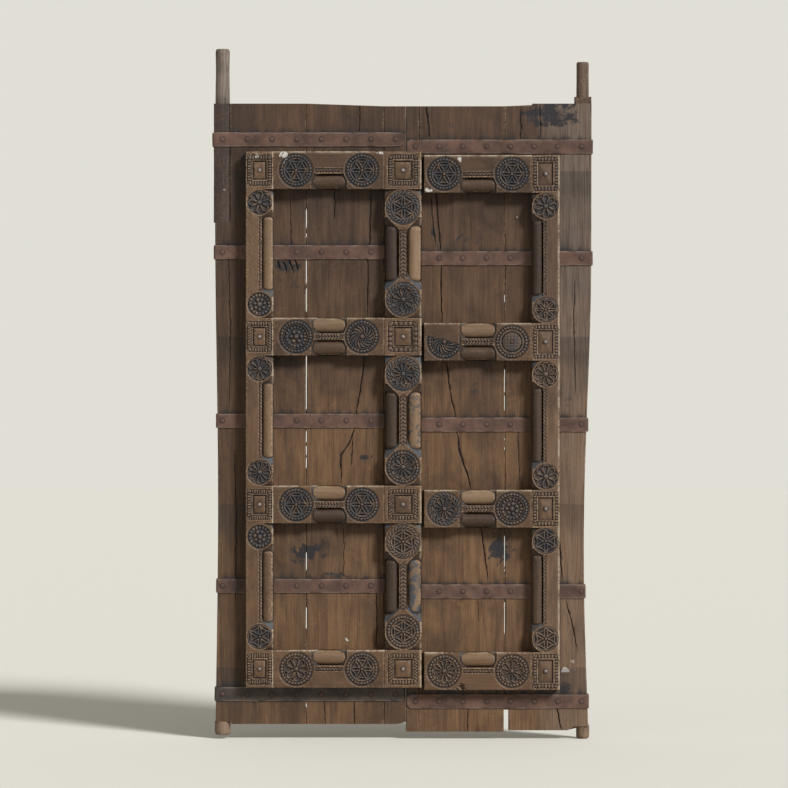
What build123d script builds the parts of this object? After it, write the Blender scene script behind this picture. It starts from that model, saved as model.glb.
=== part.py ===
"""A pair of old carved door leaves, hung on wooden pintles instead of hinges.

Each leaf is three upright planks held by five iron straps, with a grid of thick carved members nailed over
the front. The left leaf's carved centre stile covers the joint between the leaves. Millimetres: X runs to
the right across the doorway, Y from the carved face to the back, Z up. The origin is the foot of the left
leaf's lower pintle, on its axis. "Front" is towards -Y.
"""

from math import cos, hypot, pi, radians, sin
import os

from build123d import *

os.makedirs("parts", exist_ok=True)

# Planks
plank_thickness = 46
left_hinge_edge = -22
left_seams = (252, 486)
meeting_line = 550.5
right_seams = (592, 849)
right_hinge_edge = 1110
open_seam = 4.8
half_open_seam = 3
tight_seam = 1
leaf_gap = 3
left_top = 1899
left_top_at_meeting = 1891
right_top = 1891
right_top_raised = 1899
right_top_step_from_edge = 181
left_bottom = 34
right_bottom = 11
right_outer_bottom = 15
left_edge_hollow = 9
left_edge_hollow_height = 678
right_edge_hollow = 21
right_edge_hollow_height = 560
edge_hollow_reach = 900
right_edge_taper = 3
broken_corner = ((0, 7), (10, 2), (29, 0))
gnawed_corner = (12, 62)

# Pintles
left_lower_pintle_radius = 24
left_lower_pintle_length = 41
left_upper_pintle_radius = 22
left_upper_pintle_length = 165
pintle_foot_bevel = 5
pintle_top_bevel = 3
pintle_shoulder = 27
hewn_flat_depth = 3
hewn_flat_turn = -45
right_pintle_axis = 1084
right_foot_drop = -11
right_lower_pintle_radius = 20
right_lower_pintle_length = 38
right_upper_pintle_radius = 19
right_upper_pintle_length = 105
right_collar_height = 21
right_collar_left = 25
right_collar_depth = 40
right_shoulder_run = (44, 28)
post_edge = -26
post_right = 22
post_length = 357

# Carved grid
grid_depth = 48
left_rail_levels = (1696, 1197.6, 695, 202.5)
right_rail_levels = (1685, 1182, 682, 196)
rail_width = 113
outer_stile_width = 82.5
left_stile_from_edge = 94
right_stile_from_edge = 98.5
centre_stile_width = 110
centre_stile_lap = 47.5
lip_clearance = 2
right_rail_gap = 8
rail_rosette_radius = 51
left_rosette_from_end = 68
right_rosette_from_end = 60
outer_rosette_radius = 34
outer_rosette_from_rail = 40
centre_rosette_radius = 51
centre_rosette_from_rail = 55
rosette_rim = 5
rosette_flats = 12

# Bolsters, in pockets between the rosettes. An end is (distance from it, girth), in parts of the girth.
spine_half_width = 12
narrow_spine_half_width = 5
bolster_gap = 2.5
bolster_below_face = 4.5
bolster_flats = 8
bolster_end = ((0, 0.62), (0.4, 1))
bolster_root = 2
rail_bolster_inset = 44
outer_bolster_inset = 39
centre_bolster_inset = 49

# Chip carving: each rosette's petals are pits cut to a point, read from the photo one by one, top down.
rail_star_reach = 36
outer_star_reach = 27
star_hub = 7
petal_spread = 0.78
petal_depth = 6
left_rail_petals = ((6, 6), (8, 12), (6, 6), (8, 6))
right_rail_petals = ((6, 6), (10, 0), (12, 8), (12, 12))
left_stile_petals = (8, 8, 10, 12, 8, 6)
centre_stile_petals = (6, 6, 12, 12, 6, 6)
right_stile_petals = (8, 8, 10, 8, 6, 6)
outer_corner_chip = (25, 22)
centre_corner_chip = (36, 26)
corner_chip_depth = 15
panel_groove_width = 5.5
panel_groove_depth = 5
left_square_panel = (46, 61)
centre_square_panel = (60, 62)
right_square_panel = (50, 73)

# Joints within the grid
tongue_depth = 22
tongue_shoulder = 10
tongue_length = 56
joinery_clearance = 0.3
strap_notch_clearance = 0.8
cut_margin = 1

# Iron straps
strap_width = 43
strap_thickness = 4
strap_return = 130
strap_end_cut = 9
strap_bend = 3
strap_seat = 0.5
left_strap_levels = (1791, 1452, 945.5, 449, 124)
right_strap_levels = (1769.5, 1434, 934, 432.7, 102)
strap_end_from_meeting = 5

# Nails and dowels
shank = 5
hole_clearance = 0.2
blind_hole_spare = 1
strap_nail_count = 8
left_strap_nail_pitch = 74.4
right_strap_nail_pitch = 71.3
left_first_nail_from_axis = 0
right_first_nail_from_axis = 5
strap_nail_head = (7, 4)
strap_nail_reach = 35
square_nail_head = (8, 6)
rosette_nail_head = (5, 3.5)
clench_length = 20
clench_thickness = 2.5
nail_facets = 4
loose_panel_nail = (885, 1557)
post_nail = (5, 1639)
dowel_side = 11
dowel_length = 60
dowel_levels = (1516, 1350, 780, 405)


def middle(span):
    return (span[0] + span[1]) / 2


def spread(span, amount):
    return (span[0] - amount, span[1] + amount)


def about(level, half):
    return (level - half, level + half)


def keep(name, part):
    part.label = name
    export_step(part, f"parts/{name}.step")


# Levels and edges worked out from the sizes above
front = plank_thickness / 2
grid_face = front + grid_depth
shank_hole = shank + 2 * hole_clearance
left_edge_top = left_top - post_length - joinery_clearance
short_hole_depth = strap_nail_reach - strap_thickness + blind_hole_spare
left_open, left_tight = left_seams
right_tight, right_open = right_seams
left_end = meeting_line - leaf_gap / 2
right_start = meeting_line + leaf_gap / 2
left_stile_start = left_hinge_edge + left_stile_from_edge
right_stile_end = right_hinge_edge - right_stile_from_edge
centre_stile_end = meeting_line + centre_stile_lap
left_stile_span = (left_stile_start, left_stile_start + outer_stile_width)
right_stile_span = (right_stile_end - outer_stile_width, right_stile_end)
centre_stile_span = (centre_stile_end - centre_stile_width, centre_stile_end)
left_rail_span = (left_stile_span[1], centre_stile_span[0])
right_rail_span = (centre_stile_end + right_rail_gap, right_stile_span[0])


def hollow(level, depth, height):
    """How far a worn edge has hollowed at a level: a squared cosine about the deepest height."""
    offset = (level - height) / edge_hollow_reach
    return depth * cos(offset * pi / 2) ** 2 if abs(offset) < 1 else 0


def left_edge(level):
    return left_hinge_edge + hollow(level, left_edge_hollow, left_edge_hollow_height)


def right_edge(level):
    taper = right_edge_taper * (right_top_raised - level) / right_top_raised
    return right_hinge_edge - taper - hollow(level, right_edge_hollow, right_edge_hollow_height)


def edge_points(edge, low, high, steps=8):
    """Points up a worn edge, for a spline."""
    levels = [low + (high - low) * step / steps for step in range(steps + 1)]
    return [(edge(level), level) for level in levels]


# Where the rosettes, nails and dowels go
def strap_nail_places(levels, first, pitch, covered):
    """Nails along each strap. One is left out where a carved member lies over the strap."""
    places = []
    clear_of = [spread(span, strap_nail_head[0]) for span in covered]
    for row, level in enumerate(levels):
        for count in range(strap_nail_count):
            across = first + count * pitch
            free = all(not low < across < high for low, high in clear_of)
            if free or row in (0, len(levels) - 1):
                places.append((across, level))
    return places


def rosette_heights(rail_levels, from_rail):
    """A rosette below and above each pair of neighbouring rails."""
    edge = rail_width / 2 + from_rail
    return [level for high, low in zip(rail_levels, rail_levels[1:]) for level in (high - edge, low + edge)]


def on_post(place):
    return place[0] < post_right and place[1] > left_top - post_length


def dowel_places(seam):
    return [(seam, level) for level in dowel_levels]


left_strap_nails = strap_nail_places(
    left_strap_levels,
    left_first_nail_from_axis,
    left_strap_nail_pitch,
    [left_stile_span, centre_stile_span],
)
right_strap_nails = strap_nail_places(
    right_strap_levels,
    right_pintle_axis - right_first_nail_from_axis,
    -right_strap_nail_pitch,
    [right_stile_span, centre_stile_span],
)
left_rail_rosettes = (left_rail_span[0] + left_rosette_from_end, left_rail_span[1] - left_rosette_from_end)
right_rail_rosettes = (right_rail_span[0] + right_rosette_from_end, right_rail_span[1] - right_rosette_from_end)
left_square_nails = [(middle(left_stile_span), level) for level in left_rail_levels]
left_square_nails += [(middle(centre_stile_span), level) for level in left_rail_levels]
right_square_nails = [(middle(right_stile_span), level) for level in right_rail_levels]
left_rosette_nails = [(across, level) for level in left_rail_levels for across in left_rail_rosettes]
right_rosette_nails = [(across, level) for level in right_rail_levels for across in right_rail_rosettes]
left_through_nails = left_square_nails + left_rosette_nails
right_through_nails = right_square_nails + right_rosette_nails
left_open_dowels = dowel_places(left_open)
left_tight_dowels = dowel_places(left_tight)
right_tight_dowels = dowel_places(right_tight)
right_open_dowels = dowel_places(right_open)


# Planks. The hinge plank of each leaf carries its pintles, apart from the left leaf's upper one.
def plank(name, outline, through, short, dowels, pintles=(), collar=False):
    """One upright plank: its outline, worn edge and pintles, and the holes for its nails and dowels.

    outline draws the plank's edges; pintles are (axis, low, high, radius, foot bevel, top bevel), and a collar
    is the square block left standing below the right leaf's upper pintle.
    """
    with BuildPart() as board:
        with BuildSketch(Plane.XZ.offset(-front)):
            with BuildLine():
                outline()
            make_face()
        extrude(amount=plank_thickness)
        across = board.part.bounding_box()
        if collar:
            collar_span = (right_pintle_axis - right_collar_left, right_edge(right_top_raised))
            with BuildSketch(Plane.XY.offset(right_top_raised)):
                with Locations((middle(collar_span), 0)):
                    Rectangle(collar_span[1] - collar_span[0], right_collar_depth)
            extrude(amount=right_collar_height)
        for axis, low, high, radius, foot_bevel, top_bevel in pintles:
            with BuildSketch(Plane.XY.offset(low)):
                with Locations((axis, 0)):
                    Circle(radius)
            extrude(amount=high - low)
            rims = board.edges().filter_by(GeomType.CIRCLE).filter_by(lambda edge: edge.radius == radius)
            if foot_bevel:
                chamfer(rims.sort_by(Axis.Z)[0], foot_bevel)
            if top_bevel:
                chamfer(rims.sort_by(Axis.Z)[-1], top_bevel)
        for holes, depth in ((through, plank_thickness), (short, short_hole_depth)):
            inside = [place for place in holes if across.min.X < place[0] < across.max.X]
            if inside:
                with BuildSketch(Plane.XZ.offset(front)):
                    with Locations(*inside):
                        Rectangle(shank_hole, shank_hole)
                extrude(amount=-depth, mode=Mode.SUBTRACT)
        for seam, level in dowels:
            with BuildSketch(Plane.YZ.offset(seam - dowel_length / 2 - joinery_clearance)):
                with Locations((0, level)):
                    Rectangle(dowel_side + 2 * joinery_clearance, dowel_side + 2 * joinery_clearance)
            extrude(amount=dowel_length + 2 * joinery_clearance, mode=Mode.SUBTRACT)
    keep(name, board.part)


def left_outer_outline():
    worn = Spline(*edge_points(left_edge, left_lower_pintle_length, left_edge_top))
    Polyline(
        worn @ 1,
        (post_right + joinery_clearance, left_edge_top),
        (post_right + joinery_clearance, left_top),
        (left_open - open_seam / 2, left_top),
        (left_open - open_seam / 2, left_bottom),
        (pintle_shoulder, left_bottom),
        (pintle_shoulder, left_lower_pintle_length),
        worn @ 0,
    )


def left_middle_outline():
    Polyline(
        (left_open + open_seam / 2, left_bottom),
        (left_open + open_seam / 2, left_top),
        (left_tight - tight_seam / 2, left_top_at_meeting),
        (left_tight - tight_seam / 2, left_bottom),
        close=True,
    )


def left_inner_outline():
    Polyline(
        (left_tight + tight_seam / 2, left_bottom),
        (left_tight + tight_seam / 2, left_top_at_meeting),
        (left_end, left_top_at_meeting),
        *[(left_end - across, left_bottom + up) for across, up in broken_corner],
        close=True,
    )


def right_inner_outline():
    Polyline(
        (right_start, right_bottom),
        (right_start, right_top),
        (right_tight - tight_seam / 2, right_top),
        (right_tight - tight_seam / 2, right_bottom),
        close=True,
    )


def right_middle_outline():
    Polyline(
        (right_tight + tight_seam / 2, right_bottom),
        (right_tight + tight_seam / 2, right_top),
        (right_open - half_open_seam / 2, right_top),
        (right_open - half_open_seam / 2, right_bottom),
        close=True,
    )


def right_outer_outline():
    start = right_open + half_open_seam / 2
    shoulder = right_foot_drop + right_lower_pintle_length
    step = right_hinge_edge - right_top_step_from_edge
    worn = Spline(*edge_points(right_edge, shoulder, right_top_raised))
    Polyline(
        worn @ 1,
        (step, right_top_raised),
        (step, right_top),
        (start, right_top),
        (start, right_outer_bottom + gnawed_corner[1]),
        (start + gnawed_corner[0], right_outer_bottom + gnawed_corner[1]),
        (start + gnawed_corner[0], right_outer_bottom),
        (right_pintle_axis - right_shoulder_run[0], right_outer_bottom),
        (right_pintle_axis - right_shoulder_run[1], shoulder),
        worn @ 0,
    )


left_foot = (0, 0, left_lower_pintle_length, left_lower_pintle_radius, pintle_foot_bevel, 0)
right_foot_top = right_foot_drop + right_lower_pintle_length
right_foot = (
    right_pintle_axis, right_foot_drop, right_foot_top, right_lower_pintle_radius, pintle_foot_bevel, 0
)
right_collar_top = right_top_raised + right_collar_height
right_head_top = right_collar_top + right_upper_pintle_length
right_head = (
    right_pintle_axis, right_collar_top, right_head_top, right_upper_pintle_radius, 0, pintle_top_bevel
)
nails_off_the_post = [place for place in left_strap_nails if not on_post(place)]
nails_on_the_post = [place for place in left_strap_nails if on_post(place)]
plank("left_outer_plank", left_outer_outline, left_through_nails, nails_off_the_post, left_open_dowels,
      [left_foot])
plank("left_middle_plank", left_middle_outline, left_through_nails, left_strap_nails,
      left_open_dowels + left_tight_dowels)
plank("left_inner_plank", left_inner_outline, left_through_nails, left_strap_nails, left_tight_dowels)
plank("right_inner_plank", right_inner_outline, right_through_nails, right_strap_nails, right_tight_dowels)
plank("right_middle_plank", right_middle_outline, right_through_nails, right_strap_nails,
      right_tight_dowels + right_open_dowels)
plank("right_outer_plank", right_outer_outline, right_through_nails, right_strap_nails + [loose_panel_nail],
      right_open_dowels, [right_foot, right_head], collar=True)

# The left leaf's upper pintle is a repair: a post let into the hinge edge, with a flat hewn down its pintle.
with BuildPart() as left_upper_pivot_post:
    with BuildSketch(Plane.XY.offset(left_top - post_length)):
        with Locations((middle((post_edge, post_right)), 0)):
            Rectangle(post_right - post_edge, plank_thickness)
    extrude(amount=post_length)
    with BuildSketch(Plane.XY.offset(left_top)):
        Circle(left_upper_pintle_radius)
    extrude(amount=left_upper_pintle_length)
    chamfer(left_upper_pivot_post.edges().filter_by(GeomType.CIRCLE).sort_by(Axis.Z)[-1], pintle_top_bevel)
    with BuildSketch(Plane.XY.offset(left_top)):
        with PolarLocations(2 * left_upper_pintle_radius - hewn_flat_depth, 1, start_angle=hewn_flat_turn):
            Rectangle(2 * left_upper_pintle_radius, 3 * left_upper_pintle_radius)
    extrude(amount=left_upper_pintle_length, mode=Mode.SUBTRACT)
    with BuildSketch(Plane.XZ.offset(front)):
        with Locations(post_nail, *nails_on_the_post):
            Rectangle(shank_hole, shank_hole)
    extrude(amount=-short_hole_depth, mode=Mode.SUBTRACT)
keep("left_upper_pivot_post", left_upper_pivot_post.part)


# Carved grid
def board(span, levels, depth, mode=Mode.ADD):
    """A board on the planks' front face, or a cut of that depth into the back of one."""
    with BuildSketch(Plane.XZ.offset(front)) as outline:
        with Locations((middle(span), middle(levels))):
            Rectangle(span[1] - span[0], levels[1] - levels[0])
    extrude(outline.sketch, amount=depth, mode=mode)


def nail_holes(places, span, levels):
    inside = [place for place in places if span[0] < place[0] < span[1] and levels[0] < place[1] < levels[1]]
    with BuildSketch(Plane.XZ.offset(grid_face)) as holes:
        with Locations(*inside):
            Rectangle(shank_hole, shank_hole)
    extrude(holes.sketch, amount=-grid_depth, mode=Mode.SUBTRACT)


def bolster(start, end, side, half_width, spine, inset, rosette_radius):
    """A carved bolster in a sunk pocket, between two rosettes and beside the spine that joins them.

    The pocket is open at the member's edge and follows the rosettes' rims; the bolster is the front half of a
    faceted sausage with blunt rounded ends, rooted a little below the pocket's floor.
    """
    girth = (half_width - spine) / 2 - bolster_gap
    sunk = girth + bolster_below_face
    run = hypot(end[0] - start[0], end[1] - start[1])
    along = Vector((end[0] - start[0]) / run, 0, (end[1] - start[1]) / run)
    face = Plane(origin=(start[0], -grid_face, start[1]), x_dir=along, z_dir=(0, -1, 0))
    with BuildSketch(face) as pocket:
        with Locations((run / 2, side * (spine + half_width))):
            Rectangle(run - 2 * inset, 2 * half_width)
        with Locations((0, 0), (run, 0)):
            RegularPolygon(rosette_radius + rosette_rim, rosette_flats, mode=Mode.SUBTRACT)
    extrude(pocket.sketch, amount=-sunk, mode=Mode.SUBTRACT)
    tip = inset + bolster_gap
    near = [(tip + girth * distance, girth * size) for distance, size in bolster_end]
    far = [(run - distance, size) for distance, size in reversed(near)]
    centre = face.from_local_coords((0, side * middle((spine, half_width)), -sunk))
    sections = []
    for distance, size in near + far:
        with BuildSketch(Plane(origin=centre + along * distance, x_dir=(0, -1, 0), z_dir=along)) as section:
            RegularPolygon(size, bolster_flats, rotation=180 / bolster_flats)
            with Locations((-bolster_root - size, 0)):
                Rectangle(2 * size, 4 * size, mode=Mode.SUBTRACT)
        sections.append(section.sketch)
    loft(sections, ruled=True)


def rosette(petals, reach):
    """The chips that leave a rosette's petals standing: lozenges round the hub, each cut down to a point."""
    widest = middle((star_hub, reach))
    half_width = petal_spread * widest * sin(radians(180 / petals))
    with BuildPart() as chip:
        with BuildSketch() as rim:
            with BuildLine():
                Polyline((star_hub, 0), (widest, half_width), (reach, 0), (widest, -half_width), close=True)
            make_face()
        loft([rim.sketch, Vertex(widest, 0, -petal_depth)], ruled=True)
    with BuildPart() as chips:
        with PolarLocations(0, petals, start_angle=90):
            add(chip.part)
    return chips.part


def carve_rosette(place, petals, reach):
    """A rosette whose ring is uncarved, or worn plain, has no petals."""
    if petals:
        with Locations(Plane(origin=(place[0], -grid_face, place[1]), x_dir=(1, 0, 0), z_dir=(0, -1, 0))):
            add(rosette(petals, reach), mode=Mode.SUBTRACT)


def corner_chip(edge, level, inward, away, size):
    """The chip cut out of a stile's edge between a square and the rosette next to it, deepest at the square."""
    with BuildSketch(Plane.XZ.offset(grid_face)) as rim:
        with BuildLine():
            Polyline((edge, level), (edge + inward * size[0], level), (edge, level + away * size[1]), close=True)
        make_face()
    loft([rim.sketch, Vertex(edge, corner_chip_depth - grid_face, level)], ruled=True, mode=Mode.SUBTRACT)


def panel(place, size):
    """The sunk frame round a square's raised panel."""
    with BuildSketch(Plane.XZ.offset(grid_face)) as frame:
        with Locations(place):
            Rectangle(*size)
            Rectangle(size[0] - 2 * panel_groove_width, size[1] - 2 * panel_groove_width, mode=Mode.SUBTRACT)
    extrude(frame.sketch, amount=-panel_groove_depth, mode=Mode.SUBTRACT)


def strap_notches(span, straps):
    """Channels across a member's back, where it lies over the straps."""
    for level in straps:
        board(spread(span, cut_margin), about(level, strap_width / 2 + strap_notch_clearance),
              strap_thickness + joinery_clearance, Mode.SUBTRACT)


def stile(name, span, rail_levels, sides, housed_sides, carving, nails, straps):
    """An upright member: squares where the rails meet it, and bolsters between its rosettes.

    carving is (petals top down, star reach, rosette radius, rosette's distance from the rail, spine, inset of
    the bolsters, corner chip, square panel).
    """
    petals, reach, radius, from_rail, spine, inset, chip, square = carving
    axis = middle(span)
    half_width = (span[1] - span[0]) / 2
    height = (rail_levels[-1] - rail_width / 2, rail_levels[0] + rail_width / 2)
    rosettes = rosette_heights(rail_levels, from_rail)
    with BuildPart() as member:
        board(span, height, grid_depth)
        for upper, lower in zip(rosettes[::2], rosettes[1::2]):
            for side in sides:
                bolster((axis, lower), (axis, upper), -side, half_width, spine, inset, radius)
                edge = axis + side * half_width
                corner_chip(edge, upper + from_rail, -side, -1, chip)
                corner_chip(edge, lower - from_rail, -side, 1, chip)
        for level, count in zip(rosettes, petals):
            carve_rosette((axis, level), count, reach)
        for level in rail_levels:
            panel((axis, level), square)
            for side in housed_sides:
                ends = (axis + side * half_width, axis + side * (half_width - tongue_length - joinery_clearance))
                board(sorted(ends), about(level, rail_width / 2 - tongue_shoulder + joinery_clearance),
                      tongue_depth + joinery_clearance, Mode.SUBTRACT)
        strap_notches(span, straps)
        if span[1] > meeting_line > span[0]:
            board((meeting_line, span[1]), spread(height, cut_margin), strap_thickness + lip_clearance,
                  Mode.SUBTRACT)
        nail_holes(nails, span, height)
    keep(name, member.part)


def rail(name, span, level, rosettes, sides, petals, nails, tongue_ends, straps):
    """A level member, with a tongue at the back of each end that a stile lies over."""
    height = about(level, rail_width / 2)
    with BuildPart() as member:
        board(span, height, grid_depth)
        for side in sides:
            bolster((rosettes[0], level), (rosettes[1], level), side, rail_width / 2, spine_half_width,
                    rail_bolster_inset, rail_rosette_radius)
        for across, count in zip(rosettes, petals):
            carve_rosette((across, level), count, rail_star_reach)
        whole = (span[0] - tongue_length * tongue_ends[0], span[1] + tongue_length * tongue_ends[1])
        board(whole, about(level, rail_width / 2 - tongue_shoulder), tongue_depth)
        strap_notches(whole, straps)
        nail_holes(nails, whole, height)
    keep(name, member.part)


rail_names = ("top", "upper", "lower", "bottom")
below, both, above = (-1,), (-1, 1), (1,)
rail_sides = (below, both, both, above)
for rail_name, level, sides, petals in zip(rail_names, left_rail_levels, rail_sides, left_rail_petals):
    rail(f"left_rail_{rail_name}", left_rail_span, level, left_rail_rosettes, sides, petals,
         left_through_nails, (1, 1), left_strap_levels)
for rail_name, level, sides, petals in zip(rail_names, right_rail_levels, rail_sides, right_rail_petals):
    rail(f"right_rail_{rail_name}", right_rail_span, level, right_rail_rosettes, sides, petals,
         right_through_nails, (0, 1), right_strap_levels)

outer_carving = (
    outer_star_reach, outer_rosette_radius, outer_rosette_from_rail, narrow_spine_half_width,
    outer_bolster_inset, outer_corner_chip
)
centre_carving = (
    rail_star_reach, centre_rosette_radius, centre_rosette_from_rail, spine_half_width,
    centre_bolster_inset, centre_corner_chip
)
left_carving = (left_stile_petals, *outer_carving, left_square_panel)
middle_carving = (centre_stile_petals, *centre_carving, centre_square_panel)
right_carving = (right_stile_petals, *outer_carving, right_square_panel)
stile("left_outer_stile", left_stile_span, left_rail_levels, (1,), (1,), left_carving,
      left_through_nails, left_strap_levels)
stile("centre_stile", centre_stile_span, left_rail_levels, (-1, 1), (-1,), middle_carving,
      left_through_nails, left_strap_levels)
stile("right_outer_stile", right_stile_span, right_rail_levels, (-1,), (-1,), right_carving,
      right_through_nails, right_strap_levels)


# Iron straps
def strap(name, level, tip, turn, nails):
    """A flat bar from its cut-cornered tip across the planks' front, round the hinge edge and back behind it."""
    outward = 1 if turn > tip else -1
    back = turn - outward * strap_return
    outer = front + strap_thickness
    with BuildPart() as bar:
        with BuildSketch(Plane.XY.offset(level - strap_width / 2)) as fold:
            with BuildLine():
                Polyline(
                    (tip, -front),
                    (turn, -front),
                    (turn, front),
                    (back, front),
                    (back, outer),
                    (turn + outward * strap_thickness, outer),
                    (turn + outward * strap_thickness, -outer),
                    (tip, -outer),
                    close=True,
                )
            make_face()
            bends = fold.vertices().sort_by(Axis.X)[-2:] if outward > 0 else fold.vertices().sort_by(Axis.X)[:2]
            chamfer(bends, strap_bend)
        extrude(amount=strap_width)
        upright = bar.edges().filter_by(Axis.Y).group_by(Axis.X)
        chamfer(upright[0 if outward > 0 else -1], strap_end_cut)
        with BuildSketch(Plane.XZ.offset(front)):
            with Locations(*[place for place in nails if place[1] == level]):
                Rectangle(shank_hole, shank_hole)
        extrude(amount=strap_thickness, mode=Mode.SUBTRACT)
    keep(name, bar.part)


strap_names = ("top", "upper", "middle", "lower", "bottom")
left_tip = meeting_line - strap_end_from_meeting
right_tip = meeting_line + strap_end_from_meeting
for strap_name, level in zip(strap_names, left_strap_levels):
    ends = [left_edge(end) for end in about(level, strap_width / 2)]
    on_the_post = level > left_top - post_length
    turn = (post_edge if on_the_post else min(ends)) - strap_seat
    strap(f"left_strap_{strap_name}", level, left_tip, turn, left_strap_nails)
for strap_name, level in zip(strap_names, right_strap_levels):
    ends = [right_edge(end) for end in about(level, strap_width / 2)]
    strap(f"right_strap_{strap_name}", level, right_tip, max(ends) + strap_seat, right_strap_nails)


# Nails and dowels
def forged_nail(reach, head, clenched):
    """One hand-forged nail: a low faceted head, a square shank and, if clenched, its point bent down flat."""
    radius, rise = head
    with BuildPart() as nail:
        with BuildSketch(Plane.XZ) as rim:
            RegularPolygon(radius, nail_facets, rotation=180 / nail_facets)
        loft([rim.sketch, Vertex(0, -rise, 0)], ruled=True)
        with BuildSketch(Plane.XZ) as stem:
            Rectangle(shank, shank)
        extrude(stem.sketch, amount=-reach)
        if clenched:
            with BuildSketch(Plane.XZ.offset(clench_thickness - reach)) as point:
                with Locations((0, (shank - clench_length) / 2)):
                    Rectangle(shank, clench_length)
            extrude(point.sketch, amount=-clench_thickness)
    return nail.part


def nails(name, groups, clenched=False):
    """Nails of one kind, in groups of (places, surface that the heads sit on, reach, head)."""
    with BuildPart() as driven:
        for places, surface, reach, head in groups:
            with Locations(*[(across, -surface, level) for across, level in places]):
                add(forged_nail(reach, head, clenched))
    keep(name, driven.part)


strap_face = front + strap_thickness
through = grid_depth + plank_thickness + clench_thickness
bare_reach = strap_nail_reach - strap_thickness
nails("left_strap_nails", [
    (left_strap_nails, strap_face, strap_nail_reach, strap_nail_head),
    ([post_nail], front, bare_reach, strap_nail_head),
])
nails("right_strap_nails", [
    (right_strap_nails, strap_face, strap_nail_reach, strap_nail_head),
    ([loose_panel_nail], front, bare_reach, strap_nail_head),
])
nails("left_square_nails", [(left_square_nails, grid_face, through, square_nail_head)], clenched=True)
nails("right_square_nails", [(right_square_nails, grid_face, through, square_nail_head)], clenched=True)
nails("left_rosette_nails", [(left_rosette_nails, grid_face, through, rosette_nail_head)], clenched=True)
nails("right_rosette_nails", [(right_rosette_nails, grid_face, through, rosette_nail_head)], clenched=True)


def dowels(name, places):
    """Square pegs across the seams, which hold the planks edge to edge."""
    with BuildPart() as group:
        for seam, level in places:
            with BuildSketch(Plane.YZ.offset(seam - dowel_length / 2)):
                with Locations((0, level)):
                    Rectangle(dowel_side, dowel_side)
            extrude(amount=dowel_length)
    keep(name, group.part)


dowels("left_plank_dowels", left_open_dowels + left_tight_dowels)
dowels("right_plank_dowels", right_tight_dowels + right_open_dowels)
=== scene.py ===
"""A pair of old carved door leaves on wooden pintles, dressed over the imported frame.

Lengths are written in millimetres and become metres where a mesh is made. X runs right across the doorway,
Y from the carved face to the back, Z up, as in the frame.
"""

import bpy
import numpy as np
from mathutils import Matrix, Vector


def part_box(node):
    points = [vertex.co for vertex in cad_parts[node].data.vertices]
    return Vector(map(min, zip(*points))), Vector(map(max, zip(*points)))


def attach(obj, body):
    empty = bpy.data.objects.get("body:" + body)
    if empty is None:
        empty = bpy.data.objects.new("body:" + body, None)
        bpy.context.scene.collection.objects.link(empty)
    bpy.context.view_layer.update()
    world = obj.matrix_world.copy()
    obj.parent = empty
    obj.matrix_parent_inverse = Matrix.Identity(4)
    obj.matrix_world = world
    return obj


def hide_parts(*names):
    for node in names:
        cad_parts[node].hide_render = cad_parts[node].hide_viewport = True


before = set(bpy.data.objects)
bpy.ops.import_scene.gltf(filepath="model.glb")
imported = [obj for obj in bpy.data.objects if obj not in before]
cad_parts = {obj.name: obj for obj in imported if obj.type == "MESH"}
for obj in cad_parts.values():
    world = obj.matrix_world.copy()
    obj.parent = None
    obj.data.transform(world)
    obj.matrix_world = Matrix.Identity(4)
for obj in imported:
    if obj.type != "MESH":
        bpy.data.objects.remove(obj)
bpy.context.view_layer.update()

# The planks. Six heavy hardwood boards, sawn and adzed by hand, two fingers thick, pegged edge to edge.
# Their arrises have worn round, they have cracked along the grain, and the seams have opened in places.
front, back = -23.0, 23.0
pixel = 3.0
sharpest_smooth = 50


def spot(across, down):
    """X and Z in millimetres of a spot on the photograph: 3 mm a pixel, from the left lower pintle's foot."""
    return (across - 222) * pixel, (736 - down) * pixel


def mottle(u, v, size, seed, octaves=4):
    """Smooth irregular waves: six sine waves an octave, each in its own direction and phase, added up.

    Each octave is half as large and half as strong as the one before. The result runs from about -1 to 1.
    """
    draw = np.random.default_rng(seed)
    total = np.zeros(np.broadcast(u, v).shape)
    for octave in range(octaves):
        for wave in range(6):
            turn, phase = draw.uniform(0, 2 * np.pi, 2)
            pitch = 2 * np.pi * 2**octave / size * draw.uniform(0.7, 1.4)
            total += np.sin(pitch * (u * np.cos(turn) + v * np.sin(turn)) + phase) * 0.5**octave
    return total / 3.5


def held(values):
    """Values kept between 0 and 1."""
    return np.clip(values, 0, 1)


def skin(rings, **marks):
    """A closed shell: each ring of points joins the next all the way round, and the two end rings are filled.

    Faces point outwards: the shell's volume, summed face by face from the origin, is made positive. marks are
    numbers for each point of each ring, which the materials read.
    """
    rings = np.asarray(rings, float)
    count, around, _ = rings.shape
    points = rings.reshape(-1, 3)
    number = np.arange(count * around).reshape(count, around)
    after = np.roll(number, -1, axis=1)
    quads = np.stack([number[:-1], after[:-1], after[1:], number[1:]], axis=-1).reshape(-1, 4)
    a, b, c, d = (points[quads[:, k]] for k in range(4))
    volume = np.sum(a * np.cross(b, c)) + np.sum(a * np.cross(c, d))
    ends = [number[0][::-1], number[-1]]
    for end in ends:
        p = points[end]
        volume += np.sum(p[0] * np.cross(p[1:-1], p[2:]))
    if volume < 0:
        quads = quads[:, ::-1]
        ends = [end[::-1] for end in ends]
    marks = {mark: np.broadcast_to(value, (count, around)).reshape(-1) for mark, value in marks.items()}
    return points, quads, ends, marks


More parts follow.
